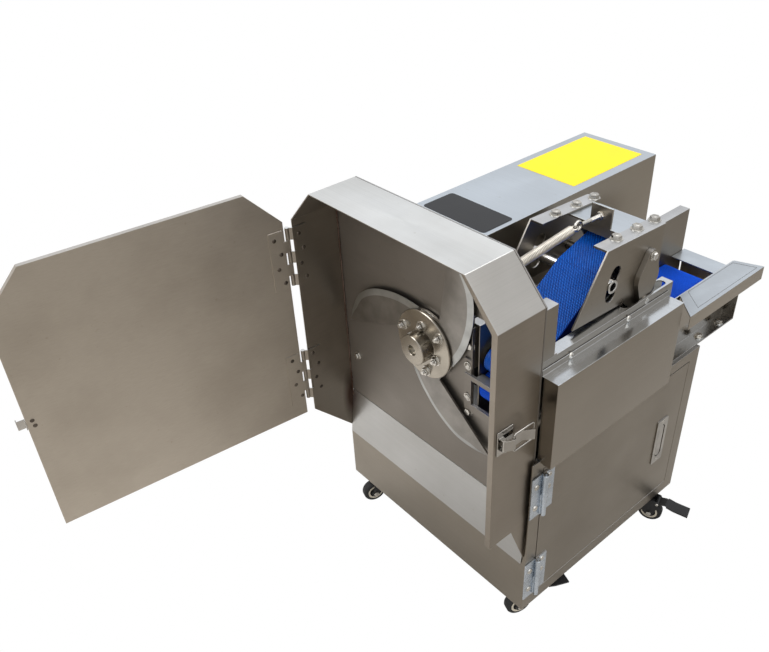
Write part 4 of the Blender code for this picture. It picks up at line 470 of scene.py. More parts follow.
# Two copies of the one blue belt: the dark one paints the shade between bumps and in grooves, the light one
# paints the highlight on bump tops.
BELT_PAINTED_SHADE = soft_plastic("belt painted shade", (0.001, 0.016, 0.150), 0.60, 0.3, 300, 0.10)
BELT_BLUE_AND_HIGHLIGHT = soft_plastic("belt face", (0.005, 0.200, 0.950), 0.26, 0.2, 300, 0.50)
LOWER_BLUE = soft_plastic("ribbed belt face", (0.001, 0.070, 0.560), 0.50, 0.3, 300, 0.10)
YELLOW = soft_plastic("yellow film", (0.84, 0.655, 0.014), 0.40, 0.05, 300, 0.20, 0.04)
BLACK_FILM = soft_plastic("black film", (0.013, 0.014, 0.016), 0.36, 0.05, 300, 0.30, 0.06)
POINTER_WHITE = soft_plastic("white pointer", (0.72, 0.73, 0.74), 0.40, 0.05)
RED = soft_plastic("red cap", (0.55, 0.015, 0.015), 0.28, 0.05)
GREEN = soft_plastic("green cap", (0.015, 0.30, 0.06), 0.28, 0.05)
BLACK_PLASTIC = soft_plastic("black knob", (0.018, 0.018, 0.018), 0.35, 0.2)

LOOKS = {
    "cabinet_shell": STEEL, "chamber_back_plate": BACK_STEEL, "knife_hood": HOOD_STEEL,
    "discharge_chute": CHUTE_STEEL, "shear_frame": BACK_STEEL, "control_box": PALE_STEEL,
    "conveyor_side_right": RAIL_STEEL, "infeed_wing_right": PALE_STEEL, "conveyor_side_left": STEEL,
    "infeed_end_plate": PALE_STEEL, "side_cover": RAIL_STEEL, "throat_guard": STEEL,
    "hood_hinge_upper": HOOD_STEEL, "hood_hinge_lower": HOOD_STEEL, "latch_base": CHROME,
    "cabinet_hinge_upper": ZINC, "cabinet_hinge_lower": ZINC, "knife_spindle_housing": CAST_GREY,
    "knife_motor": CAST_GREY, "knife_drive_belt": BLACK_RUBBER, "feed_gearmotor": CAST_GREY,
    "knife_shaft": BOLT_STEEL, "knife_pulley": CAST_GREY, "motor_pulley": CAST_GREY,
    "lower_drive_roller": BOLT_STEEL, "lower_nose_roller": BOLT_STEEL, "press_side_plate_left": STEEL,
    "press_side_plate_right": STEEL, "press_frame": PALE_STEEL, "tension_tube": TUBE_STEEL,
    "press_bearing_right": STEEL, "press_drive_roller": BOLT_STEEL, "press_nose_roller": BOLT_STEEL,
    "chamber_door": DOOR_STEEL_PAINTED_LIGHT, "door_strike": CHROME, "latch_lever": CHROME, "cabinet_door": STEEL,
    "door_lock_handle": LOCK_STEEL, "stop_button": RED, "start_button": GREEN, "speed_knob": BLACK_PLASTIC,
}
FORKS = ("front_right", "front_left", "rear_right", "rear_left")
for corner in FORKS:
    LOOKS["castor_fork_" + corner] = BLACK_STEEL
for corner in ("front_right", "rear_right"):
    LOOKS["brake_pedal_" + corner] = BLACK_STEEL
PLAIN_EDGE_W = 0.0005
EDGE_W = {"knife_hood": 0.0009, "control_box": 0.0012, "side_cover": 0.0009,
          "conveyor_side_right": 0.0007, "infeed_wing_right": 0.0008, "cabinet_shell": 0.0010}


def round_edges(made, width):
    edge = made.modifiers.new("edges", "BEVEL")
    edge.width = width
    edge.segments = 2
    edge.limit_method = "ANGLE"
    edge.angle_limit = math.radians(35)


def dress_cad():
    """Welds, rounds and smooths each CAD node's shading and gives it its finish."""
    for name, look in LOOKS.items():
        made = frame["nodes"][name]
        mesh = made.data
        if "custom_normal" in mesh.attributes:
            mesh.attributes.remove(mesh.attributes["custom_normal"])
        mesh.shade_smooth()
        mesh.materials.clear()
        mesh.materials.append(look)
        join = made.modifiers.new("weld", "WELD")
        join.merge_threshold = 0.00001
        round_edges(made, EDGE_W.get(name, PLAIN_EDGE_W))
        normal = made.modifiers.new("normals", "WEIGHTED_NORMAL")
        normal.keep_sharp = True


def toward(origin, direction, spin=0.0):
    """A frame whose Z runs along the direction."""
    turn = Vector(direction).to_track_quat("Z", "Y").to_matrix().to_4x4()
    return Matrix.Translation(origin) @ turn @ Matrix.Rotation(math.radians(spin), 4, "Z")


def circle(steps):
    """Cosine and sine at even steps round a circle."""
    return [(math.cos(2 * math.pi * k / steps), math.sin(2 * math.pi * k / steps)) for k in range(steps)]


def join_rings(shape, one, two, slot=0):
    """Faces between two closed rings with the same count of corners."""
    for k in range(len(one)):
        m = (k + 1) % len(one)
        shape.faces.new((one[k], one[m], two[m], two[k])).material_index = slot


def lathe(shape, profile, matrix, steps=40, slot=0):
    """Turns (radius, level) pairs about the frame's Z."""
    rings = []
    for radius, level in profile:
        if radius == 0:
            rings.append([shape.verts.new(matrix @ Vector((0, 0, level)))] * steps)
        else:
            rings.append([shape.verts.new(matrix @ Vector((radius * c, radius * s, level)))
                          for c, s in circle(steps)])
    for low, high in zip(rings, rings[1:]):
        for i in range(steps):
            j = (i + 1) % steps
            corners = []
            for vert in (low[i], low[j], high[j], high[i]):
                if vert not in corners:
                    corners.append(vert)
            if len(corners) > 2:
                shape.faces.new(corners).material_index = slot


def tube(shape, points, radius, sides=8, closed=False):
    """A round wire through the points, on frames carried along the path."""
    count = len(points)
    rings = []
    up = None
    for i, here in enumerate(points):
        ahead = points[(i + 1) % count] if closed or i + 1 < count else here
        behind = points[i - 1] if closed or i else here
        along = (ahead - behind).normalized()
        if up is None:
            up = along.orthogonal().normalized()
        up = (up - along * up.dot(along)).normalized()
        side = along.cross(up)
        rings.append([shape.verts.new(here + (up * c + side * s) * radius) for c, s in circle(sides)])
    for low, high in zip(rings, rings[1:]):
        join_rings(shape, low, high)
    if closed:
        join_rings(shape, rings[-1], rings[0])
    else:
        shape.faces.new(rings[0][::-1])
        shape.faces.new(rings[-1])


def slab(shape, corners, direction, thickness):
    """A flat plate on a closed outline of points, thickened along a direction."""
    lift = Vector(direction).normalized() * thickness
    low = [shape.verts.new(Vector(c)) for c in corners]
    high = [shape.verts.new(Vector(c) + lift) for c in corners]
    shape.faces.new(low[::-1])
    shape.faces.new(high)
    join_rings(shape, low, high)


def finish_piece(name, shape, looks, body, stands_for=(), bevel=0.0, smooth_angle=38):
    """Makes the mesh an object that rides on the body and stands for the CAD nodes named."""
    bmesh.ops.recalc_face_normals(shape, faces=shape.faces)
    mesh = bpy.data.meshes.new(name)
    shape.to_mesh(mesh)
    shape.free()
    made = bpy.data.objects.new(name, mesh)
    bpy.context.scene.collection.objects.link(made)
    for look in looks:
        mesh.materials.append(look)
    mesh.shade_smooth()
    mesh.set_sharp_from_angle(angle=math.radians(smooth_angle))
    if bevel:
        round_edges(made, bevel)
    if body:
        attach(made, body)
    if stands_for:
        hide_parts(*stands_for)
    return made


def hexagon(shape, matrix, radius, base, height):
    """A bolt head or nut with its corners taken off at the top."""
    lathe(shape, ((0, base), (radius, base), (radius, base + height * 0.80), (radius * 0.90, base + height),
                  (0, base + height)), matrix, 6)


def hex_bolt(shape, origin, direction, radius, spin=0.0, washer=True, stud=0.0, tall_share=0.72):
    """Hexagon head on a washer; with a stud it is a nut on a threaded end."""
    matrix = toward(origin, direction, spin)
    base = 0.0
    if washer:
        ring = radius * 1.28
        thick = radius * 0.17
        lathe(shape, ((0, 0), (ring, 0), (ring, thick * 0.8), (ring * 0.97, thick), (0, thick)), matrix, 28)
        base = thick
    height = radius * tall_share
    hexagon(shape, matrix, radius, base, height)
    if stud:
        core = radius * 0.50
        profile = [(0, base + height - radius * 0.1)]
        turns = 7
        for k in range(turns):
            level = base + height + stud * k / turns
            profile += [(core, level), (core * 0.90, level + stud / turns * 0.5)]
        profile += [(core * 0.88, base + height + stud), (0, base + height + stud)]
        lathe(shape, profile, matrix, 16)
    else:
        crown = base + height
        lathe(shape, ((0, crown), (radius * 0.55, crown), (radius * 0.5, crown + radius * 0.03),
                      (0, crown + radius * 0.03)), matrix, 20)


def dome(shape, origin, direction, radius, height, socket=True):
    """A round screw or rivet head, with a socket in its crown or without one."""
    matrix = toward(origin, direction)
    profile = [(radius, 0)]
    for k in range(1, 6):
        turn = math.radians(15 * k)
        profile.append((radius * math.cos(turn), height * math.sin(turn)))
    if socket:
        profile += [(radius * 0.24, height * 0.99), (radius * 0.22, height * 0.45), (0, height * 0.45)]
    else:
        profile.append((0, height))
    lathe(shape, [(0, 0)] + profile, matrix, 24)


def loop_normals(circles):
    """The outward normal, in degrees, of the straight run from each circle to the next."""
    count = len(circles)
    headings = []
    for i in range(count):
        u0, v0, r0 = circles[i]
        u1, v1, r1 = circles[(i + 1) % count]
        span = math.hypot(u1 - u0, v1 - v0)
        run = math.degrees(math.atan2(v1 - v0, u1 - u0))
        headings.append(run - math.degrees(math.acos((r0 - r1) / span)))
    return headings


def belt_path(circles, step):
    """Points and outward normals, step apart, along a band stretched round circles given anticlockwise."""
    normals = loop_normals(circles)
    track = []
    for i, (u, v, radius) in enumerate(circles):
        begin = normals[i - 1]
        end = normals[i]
        while end < begin:
            end += 360
        while end - begin > 360:
            end -= 360
        turns = max(2, math.ceil(math.radians(end - begin) * radius / (step / 4)))
        for k in range(turns + 1):
            angle = math.radians(begin + (end - begin) * k / turns)
            out = Vector((math.cos(angle), math.sin(angle)))
            track.append((Vector((u, v)) + out * radius, out))
    lengths = [0.0]
    for (one, _), (two, _) in zip(track, track[1:] + track[:1]):
        lengths.append(lengths[-1] + (two - one).length)
    total = lengths[-1]
    count = round(total / step)
    made = []
    k = 0
    for i in range(count):
        goal = total * i / count
        while lengths[k + 1] < goal:
            k += 1
        one, normal_one = track[k % len(track)]
        two, normal_two = track[(k + 1) % len(track)]
        share = (goal - lengths[k]) / max(1e-9, lengths[k + 1] - lengths[k])
        made.append((one.lerp(two, share), normal_one.lerp(normal_two, share).normalized()))
    return made


def band(shape, path, x0, x1, inner, outer, to_place, groove=None):
    """A flat belt: outer gives the thickness at each step of the path, groove the steps that take the
    painted shade of the grooves.
    """
    rings = []
    for i, (point, out) in enumerate(path):
        low = point + out * inner
        high = point + out * outer(i)
        rings.append([shape.verts.new(to_place(x, spot.x, spot.y))
                      for x, spot in ((x0, low), (x1, low), (x1, high), (x0, high))])
    for i, (one, two) in enumerate(zip(rings, rings[1:] + rings[:1])):
        join_rings(shape, one, two, 1 if groove and groove(i) else 0)


def make_lower_belt():
    """Fine cross ribs, each one a step of the outer face, with painted shade on the step in the groove
    between ribs.
    """
    shape = bmesh.new()
    path = belt_path(LOWER_SEATS, RIB_PITCH / 4)
    path = path[:len(path) // 4 * 4]
    heights = (LOWER_BELT_T, LOWER_BELT_T + RIB_H, LOWER_BELT_T + RIB_H, LOWER_BELT_T)
    # Every fourth step lies in a groove and takes the dark painted shade.
    band(shape, path, *LOWER_BELT_X, 0, lambda i: heights[i % 4], place, lambda i: i % 4 == 3)
    finish_piece("ribbed_lower_belt", shape, [LOWER_BLUE, BELT_PAINTED_SHADE], "root",
                 ("lower_belt",), 0, 60)


def diamond(shape, x, spot, along, wide, reach):
    """Four corners of a diamond on the press belt, about x and a point of the belt's path."""
    corners = (press_point(x - wide, spot.x, spot.y), press_point(x, *(spot - along * reach)),
               press_point(x + wide, spot.x, spot.y), press_point(x, *(spot + along * reach)))
    return [shape.verts.new(corner) for corner in corners]


def make_press_belt():
    """Honeycomb face: a ground band with a raised diamond at each point of a staggered grid, the ground
    painted with shade and the diamond tops with a lighter blue that paints their highlight.
    """
    shape = bmesh.new()
    ground = PRESS_BELT_T - BUMP_H
    fine = belt_path(PRESS_SEATS, 0.0024)
    # The ground band takes the dark painted shade.
    band(shape, fine, *PRESS_BELT_X, 0, lambda i: ground, press_point)
    grid = belt_path(PRESS_SEATS, BUMP_ALONG / 2)
    if len(grid) % 2:
        grid.append(grid[0])
    x0, x1 = PRESS_BELT_X
    wide = BUMP_ACROSS * 0.40
    reach = BUMP_ALONG * 0.42
    for row, (point, out) in enumerate(grid):
        along = Vector((-out.y, out.x))
        x = x0 + BUMP_ACROSS * (0.9 if row % 2 else 0.4)
        foot = point + out * (ground - BUMP_H / 4)
        crest = point + out * PRESS_BELT_T
        while x < x1 - BUMP_ACROSS * 0.35:
            low = diamond(shape, x, foot, along, wide, reach)
            top = diamond(shape, x, crest, along, wide * BUMP_TOP_SHARE, reach * BUMP_TOP_SHARE)
            join_rings(shape, low, top)
            # Diamond tops take the belt blue with the painted highlight.
            shape.faces.new(top).material_index = 1
            shape.faces.new(low[::-1])
            x += BUMP_ACROSS
    finish_piece("honeycomb_press_belt", shape, [BELT_PAINTED_SHADE, BELT_BLUE_AND_HIGHLIGHT], "press_unit",
                 ("press_belt",), 0, 40)


def curve_through(points, steps):
    """Catmull-Rom points through the given ones."""
    ends = [points[0], *points, points[-1]]
    made = []
    for i in range(1, len(ends) - 2):
        p = [Vector(q) for q in ends[i - 1:i + 3]]
        for s in range(steps):
            t = s / steps
            made.append((p[1] * 2 + (p[2] - p[0]) * t + (p[0] * 2 - p[1] * 5 + p[2] * 4 - p[3]) * t ** 2
                         + (p[1] * 3 - p[0] - p[2] * 3 + p[3]) * t ** 3) / 2)
    made.append(Vector(points[-1]))
    return made


def polar(radius, angle):
    turn = math.radians(angle)
    return Vector((radius * math.cos(turn), radius * math.sin(turn)))


def blade_outline():
    """The ground convex edge from heel to tip, and the rest: back, root and the arc round the spigot."""
    tip = BLADE_TIP_R
    edge = [(GAP, -BLADE_HEEL_SHARE * tip)] + [(u * tip, v * tip) for u, v in BLADE_EDGE_SHARES] + [(tip, 0)]
    back = Vector(BLADE_BACK_SHARE) * tip
    root = polar(BLADE_ROOT_R, BLADE_ROOT_TURN) - Vector((0, GAP))
    inner = [polar(SPIGOT_R + GAP * 2, angle) for angle in range(BLADE_ROOT_TURN - 1, -90, -6)]
    return curve_through(edge, 14), [back, root] + inner


def make_blades():
    """Three flat blades, each with a ground bevel along its convex edge that tapers to the tip."""
    convex, rest = blade_outline()
    outline = convex + rest
    count = len(convex)
    ground = []
    for i, here in enumerate(outline):
        if i < count:
            along = (outline[min(i + 1, count - 1)] - outline[max(i - 1, 0)]).normalized()
            taper = min(1.0, (count - 1 - i) / (count * (1 - BLADE_TAPER_SHARE)))
            here = here + Vector((-along.y, along.x)) * BLADE_BEVEL * taper
        ground.append(here)
    for number, angle in enumerate(BLADE_ANGLES, start=1):
        turn = math.radians(angle)
        shape = bmesh.new()
        rings = []
        for level, points in ((0, outline), (BLADE_EDGE_T, outline), (BLADE_T, ground)):
            rings.append([shape.verts.new(place(KNIFE_X + p.x * math.cos(turn) - p.y * math.sin(turn),
                                                BLADE_BACK_Y - level,
                                                KNIFE_Z + p.x * math.sin(turn) + p.y * math.cos(turn)))
                          for p in points])
        for low, high in zip(rings, rings[1:]):
            for i in range(len(low)):
                j = (i + 1) % len(low)
                face = shape.faces.new((low[i], low[j], high[j], high[i]))
                face.material_index = 1 if i < count - 1 else 0
        shape.faces.new(rings[0][::-1])
        shape.faces.new(rings[-1])
        finish_piece("sickle_blade_" + str(number), shape, [BLADE_STEEL, EDGE_STEEL], "knife_rotor",
                     ("blade_" + str(number),), 0.0002, 30)


def make_hub():
    """The turned flange and boss, the nuts on its studs and the boss's set screw."""
    shape = bmesh.new()
    matrix = toward(place(KNIFE_X, 0, KNIFE_Z), (0, 1, 0))
    edge = HUB_EDGE
    back = FLANGE_Y + FLANGE_T
    profile = [(BOSS_BORE_R, BLADE_BACK_Y), (SPIGOT_R, BLADE_BACK_Y), (SPIGOT_R, back),
               (FLANGE_R - edge, back), (FLANGE_R, back - edge), (FLANGE_R, FLANGE_Y + edge),
               (FLANGE_R - edge, FLANGE_Y), (BOSS_R + edge * 2, FLANGE_Y),
               (BOSS_R + edge * 0.5, FLANGE_Y - edge * 0.6), (BOSS_R, FLANGE_Y - edge * 2),
               (BOSS_R, BOSS_Y + edge), (BOSS_R - edge, BOSS_Y), (BOSS_BORE_R + edge * 0.6, BOSS_Y),
               (BOSS_BORE_R, BOSS_Y + edge * 0.6), (BOSS_BORE_R, BLADE_BACK_Y)]
    lathe(shape, profile, matrix, 96)
    finish_piece("turned_hub", shape, [HUB_STEEL], "knife_rotor", ("hub_flange",), 0, 25)
    shape = bmesh.new()
    for radius, aside in STUD_RINGS:
        for angle in BLADE_ANGLES:
            origin = knife_point(radius, angle + aside, FLANGE_Y)
            hex_bolt(shape, origin, (0, -1, 0), STUD_NUT_R, angle, True, STUD_REACH)
    screw_turn = math.radians(SET_SCREW_TURN)
    out = Vector((math.cos(screw_turn), 0, math.sin(screw_turn)))
    origin = place(KNIFE_X, BOSS_Y + SET_SCREW_IN, KNIFE_Z) + out * (BOSS_R - 0.0004)
    profile = ((0, 0), (0.0040, 0), (0.0040, 0.0008), (0.0034, 0.0011), (0.0021, 0.0011), (0.0019, 0.0003),
               (0, 0.0003))
    lathe(shape, profile, toward(origin, out), 20)
    finish_piece("hub_studs_and_nuts", shape, [BOLT_STEEL], "knife_rotor")


def make_chamber_fasteners():
    """Bolts of the back plate and the shear frame, screw heads of the butt hinges and the strike."""
    shape = bmesh.new()
    for x, z in CHAMBER_BOLTS:
        hex_bolt(shape, place(x, CHAMBER_BOLT_Y, z), (0, -1, 0), CHAMBER_BOLT_R, 12)
    for x, z in FRAME_BOLTS:
        hex_bolt(shape, place(x, FRAME_BOLT_Y, z), (0, -1, 0), FRAME_BOLT_R, 20, tall_share=LOW_HEAD_SHARE)
    finish_piece("chamber_bolts", shape, [BOLT_STEEL], "root")
    shape = bmesh.new()
    for y, z in HOOD_RIVETS:
        dome(shape, place(HOOD_LEAF_FACE, y, z), (1, 0, 0), RIVET_R, RIVET_H)
    finish_piece("hood_hinge_screws", shape, [RIVET_STEEL], "root")
    shape = bmesh.new()
    for u, z in DOOR_RIVETS:
        dome(shape, door_point(DOOR_EDGE + u, DOOR_LEAF_FACE, z), DOOR_OUT, RIVET_R, RIVET_H)
    finish_piece("door_hinge_screws", shape, [RIVET_STEEL], "chamber_door")
    shape = bmesh.new()
    strike = sum(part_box("door_strike"), Vector()) / 2
    edge = (ORIGIN.y + PIN.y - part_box("chamber_door")[0].y) / math.sin(math.radians(DOOR_OPEN))
    for inset, rise in STRIKE_RIVETS:
        spot = door_point(edge - inset, DOOR_FACE, 0)
        spot.z = strike.z + rise
        dome(shape, spot, DOOR_OUT, STRIKE_RIVET_R, RIVET_H)
    finish_piece("strike_screws", shape, [RIVET_STEEL], "chamber_door")


def make_weld():
    """The uneven bead in the hood's back left corner."""
    shape = bmesh.new()
    points = []
    for k in range(WELD_STEPS):
        z = WELD_Z + WELD_LENGTH * k / (WELD_STEPS - 1)
        sway = 0.0004 * math.sin(k * 1.7) + 0.0003 * math.sin(k * 0.61)
        points.append(place(WELD_X + sway, WELD_Y, z))
    tube(shape, points, 0.0011, 8)
    for k, here in enumerate(points[::3]):
        lathe(shape, ((0, -0.0010), (0.0013, -0.0007), (0.0016, 0), (0.0013, 0.0007), (0, 0.0010)),
              Matrix.Translation(here), 8)
    finish_piece("hood_weld_bead", shape, [WELD_BROWN], "root", (), 0, 60)


def make_press_fasteners():
    """Bolts of the press unit's top and bearing, and a ring-shaped spot mark on its right side plate."""
    shape = bmesh.new()
    for x in FLANGE_BOLT_X:
        for y in FLANGE_BOLT_Y:
            origin = press_point(x, y - PIVOT.y, SIDE_TOP)
            hex_bolt(shape, origin, PRESS_UP, 0.0072, 25)
    for y, z in BEARING_BOLTS:
        hex_bolt(shape, press_point(BEARING_X, y, z), (1, 0, 0), 0.0056, 10)
    finish_piece("press_unit_bolts", shape, [BOLT_STEEL], "press_unit")
    shape = bmesh.new()
    x, y, z = SPOT_MARK
    ring = [press_point(x, y + SPOT_MARK_R * c, z + SPOT_MARK_R * s) for c, s in circle(28)]
    tube(shape, ring, 0.00035, 6, True)
    finish_piece("plate_spot_mark", shape, [RIVET_STEEL], "press_unit")


def make_eye_bolt():
    """The eye, its shank with a threaded end, and a nut on each side of the spring tab."""
    shape = bmesh.new()
    ring = [press_point(TAB_X, EYE_Y + EYE_R * c, EYE_Z + EYE_R * s) for c, s in circle(40)]
    tube(shape, ring, EYE_WIRE_R, 12, True)
    first = EYE_Y + 0.0075
    pitch = (THREAD_TO - THREAD_FROM) / THREAD_TURNS
    profile = [(0, first), (0.0029, first), (0.0029, THREAD_FROM)]
    for k in range(THREAD_TURNS):
        level = THREAD_FROM + pitch * k
        profile += [(0.0030, level), (0.0026, level + pitch / 2)]
    profile += [(0.0025, THREAD_TO), (0, THREAD_TO)]
    lathe(shape, profile, toward(press_point(TAB_X, 0, EYE_Z), PRESS_BACK), 16)
    for y, way in TAB_NUTS:
        hex_bolt(shape, press_point(TAB_X, y, EYE_Z), PRESS_BACK * way, 0.0064, 8, False)
    finish_piece("threaded_eye_bolt", shape, [BOLT_STEEL], "press_unit",
                 ("spring_eye_bolt",))


def make_spring():
    """A close coil with a hook at each end; the rear hook is placed at the press unit's eye bolt as it
    rests.
    """
    shape = bmesh.new()
    eye = press_point(TAB_X, EYE_Y, EYE_Z)
    anchor = ORIGIN + SPRING_ANCHOR
    along = (eye - anchor).normalized()
    across = Vector((1, 0, 0))
    up = along.cross(across).normalized()
    begin = anchor + along * FRONT_HOOK
    end = eye - along * REAR_HOOK
    turns = round((end - begin).length / SPRING_PITCH)
    steps = 18
    points = []
    front = anchor + along * FRONT_HOOK_MID
    for k in range(9):
        turn = math.radians(205 - 25 * k)
        aside = across * math.sin(turn) * FRONT_HOOK_WIDE
        points.append(front + along * math.cos(turn) * FRONT_HOOK_LONG + aside)
    for k in range(turns * steps + 1):
        turn = 2 * math.pi * k / steps
        centre = begin.lerp(end, k / (turns * steps))
        points.append(centre + (up * math.cos(turn) + across * math.sin(turn)) * SPRING_R)
    rear = eye - along * REAR_HOOK_MID
    for k in range(13):
        turn = math.radians(180 - 24 * k)
        points.append(rear + along * math.cos(turn) * REAR_HOOK_R + across * math.sin(turn) * REAR_HOOK_R)
    tube(shape, points, SPRING_WIRE, 8)
    made = finish_piece("coil_spring", shape, [SPRING_STEEL], None,
                        ("tension_spring",), 0, 60)
    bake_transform(made)


def make_conveyor_screws():
    """Screws of the side cover and the throat guard, bolts of the conveyor side's foot and the wing."""
    shape = bmesh.new()
    for y in (.145, .269):
        dome(shape, place(0.4187, y, .4655), (1, 0, 0), 0.0046, 0.0026)
    dome(shape, place(.4100, .1115, .4826), (0, 0, 1), 0.0052, 0.0030)
    for y, spin in ((.560, 15), (.500, 40)):
        hex_bolt(shape, place(.4115, y, .3175), (0, 0, 1), 0.0058, spin)
    for y in (.470, .550):
        hex_bolt(shape, place(.4003, y, .405), (1, 0, 0), 0.0046, 20)
    finish_piece("conveyor_screws", shape, [BOLT_STEEL], "root")


def make_cabinet_hinges():
    """Bolts, door leaves and sleeves of the two lift-off hinges, and the lock plate's screws."""
    shape = bmesh.new()
    for foot in HINGE_FEET:
        for rise in (.019, .061):
            dome(shape, place(.4283, .0845, foot + rise), (1, 0, 0), 0.0052, 0.0024, False)
    finish_piece("frame_hinge_bolts", shape, [BOLT_STEEL], "root")
    shape = bmesh.new()
    for foot in HINGE_FEET:
        for rise in (.046, .070):
            dome(shape, place(.4281, .1110, foot + rise), (1, 0, 0), 0.0048, 0.0024, False)
    finish_piece("door_hinge_bolts", shape, [BOLT_STEEL], "cabinet_door")
    shape = bmesh.new()
    for z in LOCK_SCREWS:
        dome(shape, place(.4276, LOCK_Y, z), (1, 0, 0), 0.0028, 0.0007)
    finish_piece("lock_plate_screws", shape, [BOLT_STEEL], "cabinet_door")
    shape = bmesh.new()
    for foot in HINGE_FEET:
        slab(shape, [place(.4259, y, foot + rise) for y, rise in HINGE_LEAF], (1, 0, 0), 0.0024)
    finish_piece("door_hinge_leaves", shape, [ZINC], "cabinet_door", (), 0.0004)
    shape = bmesh.new()
    pin = Vector(JOINTS["cabinet_door_hinge"]["pos_m"])
    for foot in HINGE_FEET:
        seat = Vector((pin.x, pin.y, place(0, 0, foot + SLEEVE_RISE).z))
        lathe(shape, SLEEVE_PROFILE, Matrix.Translation(seat), 28)
    finish_piece("door_hinge_sleeves", shape, [ZINC], "cabinet_door")


def make_lock_face():
    """The thin rim of the flush lock, open over its handle."""
    shape = bmesh.new()
    outer = rounded_outline(-.015, -.048, .015, .048, .004, 9)
    inner = rounded_outline(-.0082, -.0352, .0082, .0352, .0081, 9)
    back = LOCK_FACE_X - LOCK_FACE_T
    rings = []
    for points, x in ((outer, back), (outer, LOCK_FACE_X), (inner, LOCK_FACE_X), (inner, back)):
        rings.append([shape.verts.new(place(x, LOCK_Y + u, LOCK_Z + v)) for u, v in points])
    for one, two in zip(rings, rings[1:] + rings[:1]):
        join_rings(shape, one, two)
    finish_piece("lock_face", shape, [LOCK_STEEL], "cabinet_door", (), 0, 30)


def rounded_outline(u0, v0, u1, v1, radius, count):
    """A rectangle with round corners, count points to a corner."""
    points = []
    for cu, cv, begin in ((u1 - radius, v0 + radius, -90), (u1 - radius, v1 - radius, 0),
                          (u0 + radius, v1 - radius, 90), (u0 + radius, v0 + radius, 180)):
        for k in range(count):
            turn = math.radians(begin + 90 * k / (count - 1))
            points.append((cu + radius * math.cos(turn), cv + radius * math.sin(turn)))
    return points


def make_seams():
    """The thin weld outline on the infeed wing."""
    shape = bmesh.new()
    lifted = [place(x, y, WING_Z + (x - WING_EDGE_X) * WING_SLOPE) for x, y in WING_CORNERS]
    for one, two in zip(lifted, lifted[1:] + lifted[:1]):
        tube(shape, [one.lerp(two, k / 6) for k in range(7)], 0.00022, 5)
    finish_piece("wing_weld_outline", shape, [RIVET_STEEL], "root")


def make_plates():
    """The two films on the control box, left without words."""
    for name, bounds, radius, thickness, look in (("yellow_film", YELLOW_PLATE, 0.0015, 0.0002, YELLOW),
                                                  ("black_plate", BLACK_PLATE, 0.006, 0.0003, BLACK_FILM)):
        shape = bmesh.new()
        outline = [place(x, y, BOX_TOP + FILM_GAP) for x, y in rounded_outline(*bounds, radius, 7)]
        slab(shape, outline, (0, 0, 1), thickness)
        finish_piece(name, shape, [look], "root")


def make_bail():
    """The latch's wire loop, bent round its corners."""
    pivot = Vector(JOINTS["latch_bail_hinge"]["pos_m"])
    reach = 0.0378
    half = 0.0145
    bend = 0.0035
    stub = 0.00425
    outline = [(0, -stub), (0, -half + bend)]
    for cy, cz, begin in ((bend, -half + bend, 180), (reach - bend, -half + bend, 270),
                          (reach - bend, half - bend, 0), (bend, half - bend, 90)):
        for angle in range(begin + 15, begin + 91, 15):
            outline.append(Vector((cy, cz)) + polar(bend, angle))
    outline += [(0, half - bend), (0, stub)]
    shape = bmesh.new()
    tube(shape, [pivot + Vector((0, y, z)) for y, z in outline], 0.0012, 12)
    finish_piece("wire_bail", shape, [CHROME], "latch_bail", ("latch_bail",), 0, 60)


def make_castors():
    """Wheels with a beige ring on each side, nuts of axles and pedals, and bolts of the top plates."""
    side = WHEEL_HALF_W
    for corner in FORKS:
        joint = JOINTS["wheel_spin_" + corner]
        centre = Vector(joint["pos_m"])
        axis = Vector(joint["axis"])
        matrix = toward(centre, axis)
        shape = bmesh.new()
        disc = [(WHEEL_BORE_R, -side + 0.0012), (0.0075, -side + 0.0008), (0.0078, -side + 0.0022),
                (0.0105, -side + 0.0022), (0.0108, -side + 0.0008)]
        tread = [(0.0150, -side), (0.0185, -side + 0.0004), (0.0205, -side + 0.0014),
                 (0.0216, -side + 0.0032), (centre.z, -side + 0.0052)]
        half = disc + tread
        lathe(shape, half + [(r, -z) for r, z in reversed(half)] + half[:1], matrix, 48)
        for way in (-1, 1):
            ring = [(0.0112, side - 0.0008), (0.0146, side - 0.0002), (0.0146, side + 0.00015),
                    (0.0112, side - 0.0001), (0.0112, side - 0.0008)]
            lathe(shape, [(r, z * way) for r, z in ring], matrix, 48, 1)
        finish_piece("wheel_" + corner, shape, [BLACK_RUBBER, BEIGE], "wheel_" + corner,
                     ("castor_wheel_" + corner,), 0, 35)
        shape = bmesh.new()
        for way in (-1, 1):
            hex_bolt(shape, centre + axis * way * FORK_FACE, axis * way, 0.0050, 10, False)
        if corner.endswith("right"):
            brake = JOINTS["brake_" + corner]
            pedal_axis = Vector(brake["axis"])
            for way in (-1, 1):
                face = Vector(brake["pos_m"]) + pedal_axis * way * FORK_FACE
                dome(shape, face, pedal_axis * way, 0.0030, 0.0014, False)
        finish_piece("castor_nuts_" + corner, shape, [BOLT_STEEL], "castor_" + corner)
    shape = bmesh.new()
    for corner in FORKS:
        pin = Vector(JOINTS["swivel_" + corner]["pos_m"])
        for dx in (-CASTOR_BOLT_AT, CASTOR_BOLT_AT):
            for dy in (-CASTOR_BOLT_AT, CASTOR_BOLT_AT):
                spot = pin + Vector((dx, dy, -CASTOR_PLATE_T))
                hex_bolt(shape, spot, (0, 0, -1), 0.0034, 15, False)
    finish_piece("castor_plate_bolts", shape, [ZINC], "root")


